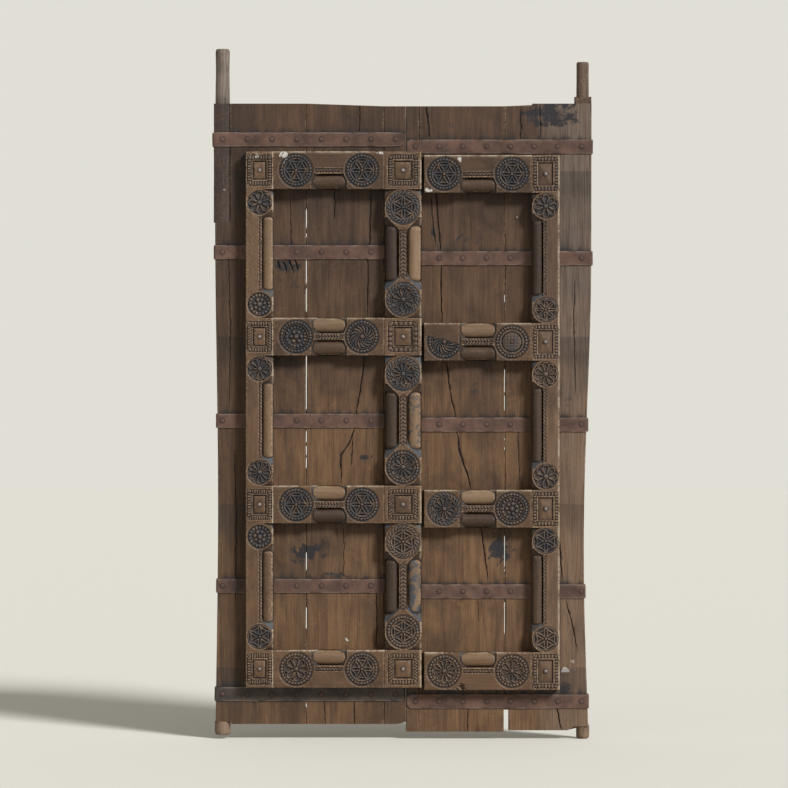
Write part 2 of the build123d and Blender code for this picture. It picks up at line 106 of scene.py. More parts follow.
def build(name, shells, material, node):
    """One object of one or more shells that takes a node's place and rides on that node's leaf.

    It is smooth but for edges that turn by more than sharpest_smooth degrees.
    """
    points = np.concatenate([shell[0] for shell in shells]) * 0.001
    offsets = np.cumsum([0] + [len(shell[0]) for shell in shells[:-1]])
    loops = np.concatenate([shell[1].reshape(-1) + offset for shell, offset in zip(shells, offsets)]
                           + [end + offset for shell, offset in zip(shells, offsets) for end in shell[2]])
    sizes = np.concatenate([np.full(len(shell[1]), 4) for shell in shells]
                           + [[len(end)] for shell in shells for end in shell[2]])
    mesh = bpy.data.meshes.new(name)
    mesh.vertices.add(len(points))
    mesh.vertices.foreach_set("co", points.astype(np.float32).ravel())
    mesh.loops.add(len(loops))
    mesh.loops.foreach_set("vertex_index", loops.astype(np.int32))
    mesh.polygons.add(len(sizes))
    mesh.polygons.foreach_set("loop_start", (np.cumsum(sizes) - sizes).astype(np.int32))
    mesh.update(calc_edges=True)
    for mark in sorted({mark for shell in shells for mark in shell[3]}):
        values = [shell[3].get(mark, np.zeros(len(shell[0]))) for shell in shells]
        layer = mesh.attributes.new(mark, "FLOAT", "POINT")
        layer.data.foreach_set("value", np.concatenate(values).astype(np.float32))
    mesh.shade_smooth()
    mesh.set_sharp_from_angle(angle=np.radians(sharpest_smooth))
    mesh.materials.append(material)
    piece = bpy.data.objects.new(name, mesh)
    bpy.context.scene.collection.objects.link(piece)
    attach(piece, "right_leaf" if node.startswith("right") else "left_leaf")
    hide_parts(node)


def paint_box(owner):
    """A material or world, its nodes cleared, and a function that adds one and links or sets its inputs."""
    owner.use_nodes = True
    tree = owner.node_tree
    tree.nodes.clear()

    def add(kind, inputs, output=0, **settings):
        made = tree.nodes.new(kind)
        for key, value in settings.items():
            setattr(made, key, value)
        for key, value in inputs.items():
            if isinstance(value, bpy.types.NodeSocket):
                tree.links.new(value, made.inputs[key])
            else:
                made.inputs[key].default_value = value
        return made.outputs[output] if made.outputs else None

    return owner, add


def shade(under, over, factor, add, kind="MIX"):
    """Two colours mixed by a factor: all of the first at 0, and all of the second at 1."""
    return add("ShaderNodeMix", {0: factor, 6: under, 7: over}, output=2, data_type="RGBA", blend_type=kind)


def old_wood(name, along, light, dark, bump=0.35, rough=0.62, cooler=0.9):
    """Weathered wood, its grain along one axis (0 for X, 2 for Z).

    Colour runs from dark to light by long streaks of noise drawn out along the grain, blotched by broad
    noise, and is darker and cooler towards the top. The piece's own marks add the rest: dark brown for
    oiling and painted shade, soot, near black for dirt and painted shade, and a pale wood tone for wear and
    painted highlight blend in smoothly; stains, plaster, and blue-grey paint traces with a painted sky sheen
    are cut to ragged patches by noise; bleached surfaces are lighter, and pale bolsters and the lit edge are
    lighter as painted highlights. Grain, pores and specks make the bump.
    """
    material, add = paint_box(bpy.data.materials.new(name))
    place = add("ShaderNodeTexCoord", {}, output=3)

    def noise(stretch, detail, distortion=0.0):
        moved = add("ShaderNodeMapping", {"Vector": place, "Scale": stretch})
        return add("ShaderNodeTexNoise", {"Vector": moved, "Scale": 1.0, "Detail": detail, "Roughness": 0.62,
                                          "Distortion": distortion})

    def grain(fine, long, detail, distortion=0.0):
        return noise([long if axis == along else fine for axis in range(3)], detail, distortion)

    def mark(attribute):
        return add("ShaderNodeAttribute", {}, output=2, attribute_name=attribute)

    def times(first, second):
        return add("ShaderNodeMath", {0: first, 1: second}, operation="MULTIPLY", use_clamp=True)

    def plus(first, second):
        return add("ShaderNodeMath", {0: first, 1: second}, operation="ADD")

    def span(value, low, high, to_low=0.0, to_high=1.0):
        return add("ShaderNodeMapRange", {0: value, 1: low, 2: high, 3: to_low, 4: to_high})

    def ragged(attribute, low, high):
        return span(plus(mark(attribute), patches), low, high)

    streaks, fine, pores = grain(26, 2.2, 6, 1.6), grain(240, 9, 4, 0.4), grain(900, 40, 2)
    blotches = noise([7, 7, 5], 5, 0.6)
    patches = noise([42, 42, 42], 6, 0.8)
    specks = noise([170, 170, 170], 3)
    blend = plus(times(streaks, 0.5), times(fine, 0.5))
    colour = shade(dark, light, span(blend, 0.38, 0.62), add)
    deep = (dark[0] * 0.55, dark[1] * 0.52, dark[2] * 0.55, 1)
    pale = (light[0] * 1.5, light[1] * 1.42, light[2] * 1.25, 1)
    height = add("ShaderNodeSeparateXYZ", {0: place}, output=2)
    darker_top_tint, grey, tan = (0.47, 0.47, 0.57, 1), (0.24, 0.19, 0.155, 1), (0.29, 0.19, 0.112, 1)
    oil_and_shade_brown, soot, bare_and_lit = (0.024, 0.0142, 0.0098, 1), (0.034, 0.0365, 0.044, 1), (0.38, 0.262, 0.165, 1)
    highlight_cream, blue_grey, ink = (0.58, 0.49, 0.37, 1), (0.056, 0.061, 0.07, 1), (0.0125, 0.013, 0.018, 1)
    lime, dirt = (0.52, 0.5, 0.45, 1), (0.012, 0.011, 0.012, 1)
    for tint, factor, kind in (
        (deep, span(blotches, 0.46, 0.68, 0.0, 0.75), "MIX"),
        (pale, span(patches, 0.58, 0.8, 0.0, 0.4), "MIX"),
        (deep, span(specks, 0.6, 0.7, 0.0, 0.55), "MIX"),
        (darker_top_tint, span(height, 0.75, 1.5, 0.0, cooler), "MULTIPLY"),
        (grey, times(mark("bleached"), span(fine, 0.2, 0.6)), "MIX"),
        # Tan for a painted highlight on bolsters that face the light.
        (tan, times(mark("pale"), span(blend, 0.3, 0.65, 0.65, 1.0)), "MIX"),
        # Dark brown for oiling, and for painted shade on pocket floors, chips and bolsters turned from the
        # light.
        (oil_and_shade_brown, times(mark("oiled"), span(blend, 0.3, 0.7, 1.0, 0.85)), "MIX"),
        (soot, times(mark("soot"), span(specks, 0.2, 0.5, 0.75, 1.0)), "MIX"),
        # A pale bare-wood tone for wear, and on carved members for a painted highlight along the lit edge.
        (bare_and_lit, times(mark("worn"), span(specks, 0.42, 0.6)), "MIX"),
        # Pale cream for a painted highlight along the edge of each carved member that faces the light.
        (highlight_cream, times(mark("chalked"), span(patches, 0.36, 0.5)), "MIX"),
        # Blue-grey for paint traces, and for a painted sky sheen on floors that face up.
        (blue_grey, ragged("paint", 0.88, 0.98), "MIX"),
        (ink, times(ragged("stain", 0.92, 1.1), 0.94), "MIX"),
        (lime, ragged("plaster", 0.98, 1.04), "MIX"),
        # Near black for dirt, and for painted shade in carved hollows, in cracks and below the rails.
        (dirt, mark("grime"), "MIX"),
    ):
        colour = shade(colour, tint, factor, add, kind)
    relief = plus(plus(times(fine, 0.6), times(pores, 0.3)), plus(times(streaks, 0.9), times(specks, 0.3)))
    normal = add("ShaderNodeBump", {"Height": relief, "Strength": bump, "Distance": 0.004})
    gloss = span(blend, 0.3, 0.7, rough + 0.14, rough - 0.06)
    shader = add("ShaderNodeBsdfPrincipled", {"Base Color": colour, "Roughness": gloss, "Normal": normal,
                                              "Specular IOR Level": 0.35})
    add("ShaderNodeOutputMaterial", {"Surface": shader})
    return material


# Cracks as (spots on the photograph, width in mm); knots, stains and specks of plaster as (spot, half sizes
# in pixels, strength); the light gaps of the two open seams as stretches down the photograph.
cracks = [
    (((371, 189), (370, 230), (368, 262), (367.5, 318)), 2.4), (((334, 188), (335, 203), (334, 219)), 2),
    (((365, 355), (361, 385), (355.7, 415)), 3), (((353, 437), (352, 450), (351, 465)), 2),
    (((355, 428), (348, 445), (341, 455), (340, 470)), 4), (((342, 465), (341, 475), (340.7, 484)), 2),
    (((376, 590), (377, 620), (376, 648)), 2.2), (((343, 526), (344, 550), (343, 576)), 1.4),
    (((359, 104), (360, 118), (359, 131)), 2), (((324, 700), (325, 726)), 2), (((354, 700), (354, 726)), 2),
    (((436, 188), (438, 222), (441, 250)), 3), (((431, 196), (433, 222), (436, 246)), 2.2),
    (((441.7, 262), (441, 290), (442, 324)), 2.6), (((446.5, 360), (450, 390), (455.5, 417)), 3.2),
    (((457, 432), (460, 455), (466, 470), (471, 489)), 4), (((481, 525), (484, 550), (488, 580)), 2.8),
    (((478, 600), (478.5, 622)), 1.6), (((426, 104), (428, 120), (430, 137)), 3),
    (((521, 104), (521, 137)), 2), (((468, 704), (467.5, 733)), 1.8), (((558.5, 166), (559, 250)), 2),
    (((558, 520), (561, 560), (563, 582)), 3), (((566, 600), (571, 620), (578, 655)), 2),
    (((557.5, 600), (557, 690)), 2.6), (((557, 707), (561.7, 731)), 3),
    (((575, 280), (574, 330), (576, 395)), 1.6), (((228, 240), (230, 330), (229, 410)), 1.6),
    (((234, 450), (236, 520), (235, 610)), 1.6), (((290, 200), (291, 245)), 1.4),
    (((518, 430), (520, 480)), 1.4), (((540, 104), (541, 137)), 1.6),
    (((277, 261), (278, 264), (280, 269)), 4), (((283, 261), (285, 266), (286, 272)), 4),
    (((289, 260), (291, 266), (293, 272)), 4.5), (((294, 259), (296, 264), (298, 270)), 4),
]
stains = [
    ((366, 457), (8, 4), 0.5), ((476, 390), (9, 14), 0.42), ((552, 114), (30, 14), 0.62),
    ((306, 552), (12, 9), 0.68), ((300, 556), (16, 12), 0.46), ((322, 548), (9, 10), 0.52),
    ((499, 551), (9, 11), 0.78), ((500, 540), (12, 18), 0.44), ((512, 550), (7, 7), 0.45),
    ((284, 266), (12, 7), 0.56), ((289, 280), (14, 14), 0.4), ((297, 268), (4, 8), 0.6),
    ((433, 231), (2.5, 4), 0.95), ((518, 222), (6, 7), 0.45), ((295, 385), (10, 14), 0.3),
    ((465, 470), (9, 9), 0.42), ((333, 575), (16, 3), 0.5), ((366, 580), (10, 4), 0.52),
    ((350, 118), (20, 6), 0.42), ((450, 122), (18, 8), 0.4), ((565, 690), (6, 10), 0.6),
    ((568, 400), (6, 9), 0.42), ((455, 560), (8, 8), 0.35), ((372, 215), (10, 14), 0.4),
    ((470, 240), (22, 7), 0.42), ((330, 265), (14, 8), 0.36), ((505, 300), (7, 10), 0.35),
]
plasters = [
    ((565, 671), (5, 3), 0.6), ((573, 662), (4, 2), 0.5), ((578, 669), (3, 3), 0.5),
    ((347, 640), (3, 2), 0.5),
]
left_seam, right_seam = 252, 849
light_gaps = {
    left_seam: ((208.8, 228.4), (233, 237.5), (260, 283.8), (288, 312), (356, 410), (431, 443), (446, 456),
                (458, 469), (553, 571), (608, 630), (704, 709)),
    right_seam: ((292.7, 301.5), (368, 392), (394, 410), (437, 440), (446, 450), (536, 567.5), (569, 572),
                 (599.4, 634.5)),
}
open_width = {left_seam: 3.4, right_seam: 2.8}
rail_heights = (1697, 1198, 695, 202)


def seam_edge(seam, side, height):
    """A plank's edge at an open seam: back by half the gap where light shows through, and shut elsewhere.

    Each stretch opens and closes over 5 mm, by a clamped ramp from its two ends.
    """
    opening = np.zeros_like(height)
    for upper, lower in light_gaps[seam]:
        low, high = spot(0, lower)[1], spot(0, upper)[1]
        opening = np.maximum(opening, held((np.minimum(height - low, high - height) + 2) / 5))
    return seam + side * open_width[seam] / 2 * opening


def hollowed(height, edge, side, depth, deepest):
    """A hinge edge worn hollow by hands: a squared cosine, 900 mm either way from its deepest height."""
    offset = np.clip((height - deepest) / 900, -1, 1)
    return edge - side * depth * np.cos(offset * np.pi / 2) ** 2


def crack_course(course, height):
    """X of a crack at each height, straight on beyond its ends, and how far it has opened there, 0 to 1."""
    across, up = np.array([spot(*point) for point in course])[::-1].T
    x = np.interp(height, up, across) + 1.1 * mottle(height, 0 * height, 46, int(across[0]), 3)
    ease = held(np.minimum(height - up[0], up[-1] - height) / (0.22 * (up[-1] - up[0])))
    return x, np.sqrt(ease)


def spotted(spots, x, z):
    """How strongly each place is marked: full in the middle of a spot, and gone by a ragged oval round it."""
    total = np.zeros_like(x)
    for centre, half, strength in spots:
        middle_x, middle_z = spot(*centre)
        reach = np.hypot((x - middle_x) / (pixel * half[0]), (z - middle_z) / (pixel * half[1]))
        reach = reach + 0.3 * mottle(x, z, 38, int(middle_x), 4)
        total = np.maximum(total, strength * held((1.3 - reach) / 0.6))
    return total


def plank(left, right, bottom, top, seed, shadow, lip=0.0, steps=(), oiled=None, bleached=None):
    """A board's cross-section carried up its height.

    Across the front the section has points every 4 mm and a bundle of five along each crack, sorted into
    order at each height; round each arris it has a worn curve. The surface sinks in a V at a crack and waves
    slowly elsewhere. left and right give the edges at each height; bottom and top give the ends at each X.
    lip is how far the front of the right edge reaches past the rest of it, and steps are heights where an
    edge jumps. oiled gives how dark with oiling, dirt and painted shadow the board is at each place (the
    painted shadow lies beside the centre stile, on its side away from the light), and bleached how grey it
    has gone.
    """
    waist = np.array([900.0])
    wide = (left(waist)[0], right(waist)[0])
    middle = np.array([np.mean(wide)])
    low_end, high_end = bottom(middle)[0], top(middle)[0]
    jumps = [step + side for step in steps for side in (-0.2, 0.2)]
    height = np.sort(np.concatenate([np.linspace(low_end, high_end, 440), jumps]))
    share = (height - low_end) / (high_end - low_end)
    low, high = left(height)[:, None], right(height)[:, None]
    arris = 3.0 + 1.6 * mottle(height, 0 * height, 260, seed)[:, None]
    share_across = np.linspace(0, 1, max(6, int((wide[1] - wide[0]) / 4)))
    columns = low + arris + (high - low - 2 * arris) * share_across
    own = [crack for crack in cracks if wide[0] < spot(*crack[0][0])[0] < wide[1]]
    courses = [crack_course(course, height) for course, width in own]
    bundles = [x[:, None] + width * 0.5 * np.array([-1.6, -0.6, 0, 0.6, 1.6])
               for (x, opened), (course, width) in zip(courses, own)]
    across = np.concatenate([columns] + bundles, axis=1)
    across = np.sort(np.clip(across, low + arris, high - arris), axis=1)
    split = np.zeros_like(across)
    for (x, opened), (course, width) in zip(courses, own):
        gap = width * opened[:, None] * (1 + 0.35 * mottle(height, 0 * height, 30, seed + 2)[:, None])
        depth = held(1 - np.abs(across - x[:, None]) / np.maximum(gap, 1e-6) * 1.25) * (gap > 0.2)
        split = np.maximum(split, depth)
    y = front + 0.5 + 0.5 * mottle(across, height[:, None] * 0.35, 150, seed + 1) + 5 * split
    turn = np.array([1.0, 0.62, 0.3, 0.08])
    back_x = high - lip - 2 + (low - high + lip + 4) * np.linspace(0, 1, 9)
    back_y = back - 0.4 * (0.5 + 0.5 * mottle(back_x, height[:, None] * 0.4, 120, seed + 3))
    right_side = np.array([front + 5.5, front + 6, back - 2])
    section_x = np.concatenate([
        low + arris * (1 - turn) ** 2, across, high - arris * (1 - turn[::-1]) ** 2,
        high - lip * np.array([0, 1, 1]), back_x, low + 0 * low], axis=1)
    section_y = np.concatenate([
        front + arris * turn, y, front + arris * turn[::-1],
        right_side + 0 * low, back_y, back - 2 + 0 * low], axis=1)
    foot, head = bottom(section_x), top(section_x)
    section_z = foot + share[:, None] * (head - foot)
    on_front = section_y < 0
    behind = 0.1 + 0.1 * mottle(section_x, section_z, 300, seed)
    grime = held(np.where(on_front, shadow(section_x, section_z), behind))
    fronts = slice(4, 4 + across.shape[1])
    # Painted shade: each crack is darkened across its V as far as it has opened.
    grime[:, fronts] = np.maximum(grime[:, fronts], np.clip(split * 1.6, 0, 0.97))
    edge = np.minimum(section_x - low, high - section_x)
    rubbed = np.clip(0.35 + 0.6 * mottle(section_x, section_z, 90, seed + 4), 0, 0.6)
    worn = held(1 - edge / 5) * rubbed * np.where(section_y < front + 6, 1, 0.2)
    return skin(np.stack([section_x, section_y, section_z], axis=-1), grime=grime, worn=worn,
                oiled=oiled(section_x, section_z) if oiled else 0.0,
                bleached=bleached(section_x, section_z) if bleached else 0.0,
                stain=spotted(stains, section_x, section_z) * on_front,
                plaster=spotted(plasters, section_x, section_z) * on_front)


def dowel_of_wood(rings_z, radius, centre_x, seed, pale, flat=None):
    """A turned pintle: circles carried up, each radius waving slightly, with an optional flat hewn along it.

    flat is (direction in degrees, distance from the axis): points beyond that line are drawn back to it. pale
    is how far its surface has bleached.
    """
    angle = np.linspace(0, 2 * np.pi, 56, endpoint=False)
    z = np.asarray(rings_z, float)[:, None]
    r = np.asarray(radius, float)[:, None] - 0.35 + 0.3 * mottle(angle * 9, z * 0.3, 40, seed)
    x, y = r * np.cos(angle), r * np.sin(angle)
    if flat:
        way = np.radians(flat[0])
        over = np.clip(x * np.cos(way) + y * np.sin(way) - flat[1], 0, None)
        x, y = x - over * np.cos(way), y - over * np.sin(way)
    grime = 0.35 * held(mottle(angle * 12, z * 0.5, 60, seed + 5)) + 0 * z
    worn = np.clip(0.45 + 0.4 * mottle(angle * 8, z * 0.25, 70, seed + 6), 0, 0.8) + 0 * z
    return skin(np.stack([x + centre_x, y + 0 * z, z + 0 * x], axis=-1), grime=grime, worn=worn * (1 - pale),
                bleached=pale)


def flat_at(value):
    """An edge or end that stays at one place."""
    return lambda place: np.full_like(place, float(value))


def leaf_dirt_and_shade(base, straps):
    """Dirt on a leaf's boards in broad drifts and ragged above each strap, and painted shade below each rail.
    """
    def grime(x, z):
        drift = base + 0.12 * mottle(x, z * 0.6, 420, 31) + 0.06 * mottle(x, z * 0.5, 60, 37)
        # Painted shade: the boards darken under each rail and for some 45 mm below it, where its shadow
        # falls.
        for level in rail_heights:
            drift = drift + 0.4 * np.exp(-np.clip(level - 62 - z, 0, None) / 45) * (z < level)
        lump = np.clip(0.5 + 0.5 * mottle(x, 0 * z, 34, 39, 5), 0.05, 1)
        for level in straps:
            above = z - level - strap_half
            dirt = np.exp(-np.clip(above, 0, None) / (3 + 8 * lump)) * (above > -3)
            drift = drift + 1.4 * dirt * (0.3 + 0.7 * lump)
        return np.clip(drift, 0, 0.9)
    return grime


# Heights of the straps' middles, of the boards' tops and feet, and of the split at the right leaf's foot;
# where the boards of a leaf join, where the leaves meet, and the notch for the left leaf's post.
left_straps, right_straps = (1791, 1452, 945.5, 449, 124), (1769.5, 1434, 934, 432.7, 102)
strap_half = 21.5
tall_top, plain_top = 1899.0, 1891.0
left_foot, right_foot = 34.0, 11.0
split_top = 77
left_joint, meeting_edge, right_joint = 486, 552, 592
post_low, post_right = 1542.0, 22.3
board_wood = old_wood("board_wood", 2, (0.192, 0.103, 0.047, 1), (0.088, 0.046, 0.0215, 1))
dark_board_wood = old_wood("dark_board_wood", 2, (0.106, 0.064, 0.044, 1), (0.056, 0.033, 0.024, 1))


def left_outer_edge(z):
    """The hinge edge, worn hollow, and above that the notch for the post."""
    return np.where(z < post_low, hollowed(z, edge=-22, side=-1, depth=9, deepest=678), post_right)


build("left_outer_board", [
    plank(left_outer_edge, lambda z: seam_edge(left_seam, -1, z), lambda x: np.where(x < 27, 41.0, left_foot),
          flat_at(tall_top), 11, leaf_dirt_and_shade(0.04, left_straps), steps=(post_low,),
          oiled=lambda x, z: 0.45 * held((114 - x) / 12)),
    dowel_of_wood([0.3, 1.2, 3, 6, 12, 20, 30, 41], [17, 20.5, 22.6, 23.8, 24, 24, 24, 24], 0, 12, 0.5),
], board_wood, "left_outer_plank")
build("left_middle_board", [
    plank(lambda z: seam_edge(left_seam, 1, z), flat_at(left_joint), flat_at(left_foot),
          lambda x: tall_top - 8 * (x - left_seam) / 234, 21, leaf_dirt_and_shade(0.0, left_straps),
          # Painted shadow and darker board where the centre stile's shadow falls, full above the second rail.
          oiled=lambda x, z: 0.4 * held((x - 436) / 8) * np.clip((z - 1180) / 60, 0.3, 1)),
], board_wood, "left_middle_plank")
build("left_inner_board", [
    plank(flat_at(left_joint), flat_at(meeting_edge - 0.3),
          lambda x: left_foot + np.interp(x, [520, 539, 549], [0, 2, 7]), flat_at(plain_top),
          31, leaf_dirt_and_shade(0.12, left_straps), lip=2.7),
], board_wood, "left_inner_plank")
build("right_inner_board", [
    plank(flat_at(meeting_edge), flat_at(right_joint), flat_at(right_foot), flat_at(plain_top),
          41, leaf_dirt_and_shade(0.1, right_straps)),
], board_wood, "right_inner_plank")
build("right_middle_board", [
    plank(flat_at(right_joint), lambda z: seam_edge(right_seam, -1, z) - 3 * (z < split_top),
          flat_at(right_foot), flat_at(plain_top), 51, leaf_dirt_and_shade(0.0, right_straps), steps=(split_top,)),
], board_wood, "right_middle_plank")


def right_outer_edge(z):
    """The hinge edge, worn hollow, and leaning in by 3 mm towards the foot."""
    return hollowed(z, edge=1110 - 3 * (tall_top - z) / tall_top, side=1, depth=21, deepest=560)


pintle_x = 1084
collar_x = np.array([1059.4, 1061, 1090, 1108, 1109.6, 1109.6, 1108, 1061, 1059.4])
collar_y = np.array([-18, -20, -20, -20, -18, 18, 20, 20, 18])
collar = np.stack([np.stack([collar_x + 0 * z, collar_y + 0 * z, z + 0 * collar_x], axis=-1)
                   for z in (1880.0, 1898.0, 1910.0, 1918.0, 1919.8)])
build("right_outer_board", [
    plank(lambda z: np.where(z < split_top, 860.5, seam_edge(right_seam, 1, z)), right_outer_edge,
          lambda x: np.where(x < 1040, 15.0, np.interp(x, [1040, 1056], [15, 27])),
          lambda x: np.where(x < 929, plain_top, tall_top), 61, leaf_dirt_and_shade(0.0, right_straps),
          steps=(split_top,),
          bleached=lambda x, z: (0.3 + 0.2 * held((z - 700) / 800)) * held((x - 935) / 60)),
    skin(collar, grime=0.25, worn=0.3),
    dowel_of_wood([-10.7, -9.6, -7.5, -5, 2, 12, 20, 30], [13.5, 16.5, 18.8, 19.8, 20, 20, 20, 20],
                  pintle_x, 62, 0.3),
    dowel_of_wood([1915, 1935, 1960, 1990, 2010, 2020, 2023.4, 2025],
                  [19, 19, 18.8, 18.6, 18.8, 19, 18.2, 16.2], pintle_x, 63, 0.25),
], board_wood, "right_outer_plank")

# The left leaf's upper pintle is a repair: a squared post let into the corner of the hinge plank, with the
# long round pintle left standing on it, bleached pale, and a flat hewn down its right front side.
post_x = np.array([-26, -25, -23.5, 0, 19.5, 21.2, 22, 22, 21, -25, -26])
post_y = np.array([-20, -22, -23, -23, -23, -22, -20, 21, 23, 23, 21])
post_z = np.linspace(post_low + 0.5, tall_top, 40)[:, None]
post_waver = 0.6 * mottle(post_z, post_x[None] * 2, 160, 71) * (np.abs(post_x) > 19)
post_rings = np.stack([post_x + np.where(post_x < 0, np.abs(post_waver), -np.abs(post_waver)),
                       post_y + 0 * post_z, post_z + 0 * post_x], axis=-1)
pintle_z = np.concatenate([np.linspace(1893, 2055, 18), [2060, 2062.6, 2064]])
pintle_radius = 22 - 1.2 * np.exp(-((pintle_z - 1995) / 45) ** 2) - np.interp(pintle_z, [2058, 2064], [0, 3])
post_grime = np.clip(0.1 + 0.3 * mottle(post_x[None] * 1.0, post_z, 130, 72), 0, 0.6)
build("left_upper_post", [
    skin(post_rings, grime=post_grime, worn=0.1),
    dowel_of_wood(pintle_z, pintle_radius, 0, 73, 0.9, flat=(-45, 19)),
], dark_board_wood, "left_upper_pivot_post")

# The pegs. Square hardwood pegs, driven into mortises across each seam before the boards were closed up, so
# that they stay in one plane. They keep the frame's own shape, and get the dark wood.
for peg_node in ("left_plank_dowels", "right_plank_dowels"):
    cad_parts[peg_node].data.materials.clear()
    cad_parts[peg_node].data.materials.append(dark_board_wood)

# The carved grid. Stiles and rails two fingers thick, carved on the bench and then nailed over the boards.
# Each rosette is a raised disc that flares into the rope beside it. Round bolsters stand in the sunk pockets
# between them, and traces of blue-grey paint are left on the pockets' floors, with a painted sky sheen where
# the floors face up.
face = -71.0
side_y, lap_y = face + 20, face + 42  # where wear from the face ends on the sides, and the lapped back
rail_half, wide_half, narrow_half = 56.5, 55, 41.25  # half widths: rails, centre stile, outer stiles
carved_marks = ("H", "soot", "paint", "worn", "grime", "oiled", "pale")


def blank(half, ends, cell):
    """A member's flat face: places across (U) and along (V) it, with height (H) and marks at nought."""
    across = np.linspace(-half, half, int(round(2 * half / cell)) + 1)
    along = np.linspace(ends[0], ends[1], int(round((ends[1] - ends[0]) / cell)) + 1)
    V, U = np.meshgrid(along, across, indexing="ij")
    return {"U": U, "V": V} | {mark: np.zeros_like(U) for mark in carved_marks}


def window(member, centre, reach):
    """The part of a member within reach of a place along it."""
    rows = slice(*np.searchsorted(member["V"][:, 0], (centre - reach, centre + reach)))
    return {name: values[rows] for name, values in member.items()}


def ridges(phase):
    """Rounded ridges side by side: the size of a cosine, swelled by a power of 0.7."""
    return np.abs(np.cos(phase)) ** 0.7


def dome(distance, radius):
    """A round boss: the height of half a ball of unit rise at a distance from its middle, 0 past its edge."""
    return np.sqrt(held(1 - (distance / radius) ** 2))


def pocket(member, ends, side, half, spine, inset, start, rim, flared, painted, flaked, tone):
    """A bolster in its pocket, between two rosettes.

    clear is how far a spot is from what stands at the face: each rosette's disc, the spine, the wood short
    of inset and, on a wide stile, a flare whose edge touches the disc at 45 degrees. The floor falls away
    with it, and is darkened as painted shade. The bolster's height is a superellipse of the distance from its
    axis and of the way into its rounded end. painted is how much blue-grey the floor keeps at its two ends,
    paint traces given mostly to ends that face up, where they stand for a painted sky sheen as well; flaked
    is how much paint the bolster keeps. tone is how pale the bolster is, or if below 0 how dark: a painted
    highlight on bolsters facing the light, and painted shade on those facing away from it.
    """
    here = window(member, (ends[0] + ends[1]) / 2, (ends[1] - ends[0]) / 2)
    U, V = here["U"], here["V"]
    u, v = side * U, np.minimum(V - ends[0], ends[1] - V)
    clear = np.minimum(np.hypot(u, v) - rim, v - inset)
    if flared:
        clear = np.minimum(clear, np.maximum((u + v) / np.sqrt(2) - rim, rim / np.sqrt(2) - v))
    inside = (u > spine) & (clear > 0)
    girth = (half - spine) / 2 - 2.5
    depth = girth + 4.5
    waver = mottle(U, V, 120, int(ends[0]) + side)
    on_rail = half > 50 and not flared
    snug = 0.6 if on_rail else 0.0
    off = np.abs(u - (half + spine) / 2 + 0.8 + 0.5 * waver) / (girth + 1.5 + snug)
    end = np.minimum(np.hypot(u, v) - rim - 2 + 2.5 * snug, v - start)
    into = np.clip(1 - end / ((0.42 if on_rail else 0.8) * girth), 0, None)
    bolster = -depth + (girth + 2.2) * np.sqrt(held(1 - off**2.15 - into**2.4)) + 0.25 * waver
    fall = 32 if on_rail else 22
    floor = -depth * (0.1 + 0.9 * held(clear / fall))
    here["H"][inside] = np.maximum(bolster, floor)[inside]
    low = held((floor - bolster + 1.5) / 2)
    # Blue-grey on the floor's ends: paint traces, with a painted sky sheen where an end faces up.
    nearer = np.where(V - ends[0] < ends[1] - V, painted[0], painted[1])
    on_floor = nearer * low * np.clip(1.2 - clear / 40, 0.2, 1)
    here["paint"][inside] = np.maximum(on_floor, flaked * (low < 1))[inside]
    # Painted shade: the pocket floor darkens, and so do bolsters facing away from the light.
    here["oiled"][inside] = np.maximum(0.75 * low, max(-tone, 0) * (1 - low))[inside]
    # Painted highlight: bolsters on the side facing the light are paler.
    here["pale"][inside] = (max(tone, 0) * (1 - low))[inside]


def corner_chip(member, centre, side, away, half, reach, rim):
    """The chip between a rosette and a square: a slope that falls from the rosette's disc to the far corner.

    Those below the square face up, and keep some paint with a painted sky sheen. Every chip is darkened as
    painted shade, so those above it, facing down, are dark.
    """
    here = window(member, centre + away * reach / 2, reach / 2)
    clear = np.hypot(here["U"], here["V"] - centre) - rim
    cut = (clear > 0) & (side * here["U"] > 0)
    share = held(clear / (np.hypot(half, reach) - rim))
    here["H"][cut] = (-1.2 - 14 * share**0.8)[cut]
    # Chips below a square face up and get blue-grey: paint traces with a painted sky sheen.
    if away > 0:
        here["paint"][cut] = (0.15 + 0.35 * held(share * 2))[cut]
    # Painted shade on every chip.
    here["oiled"][cut] = 0.6


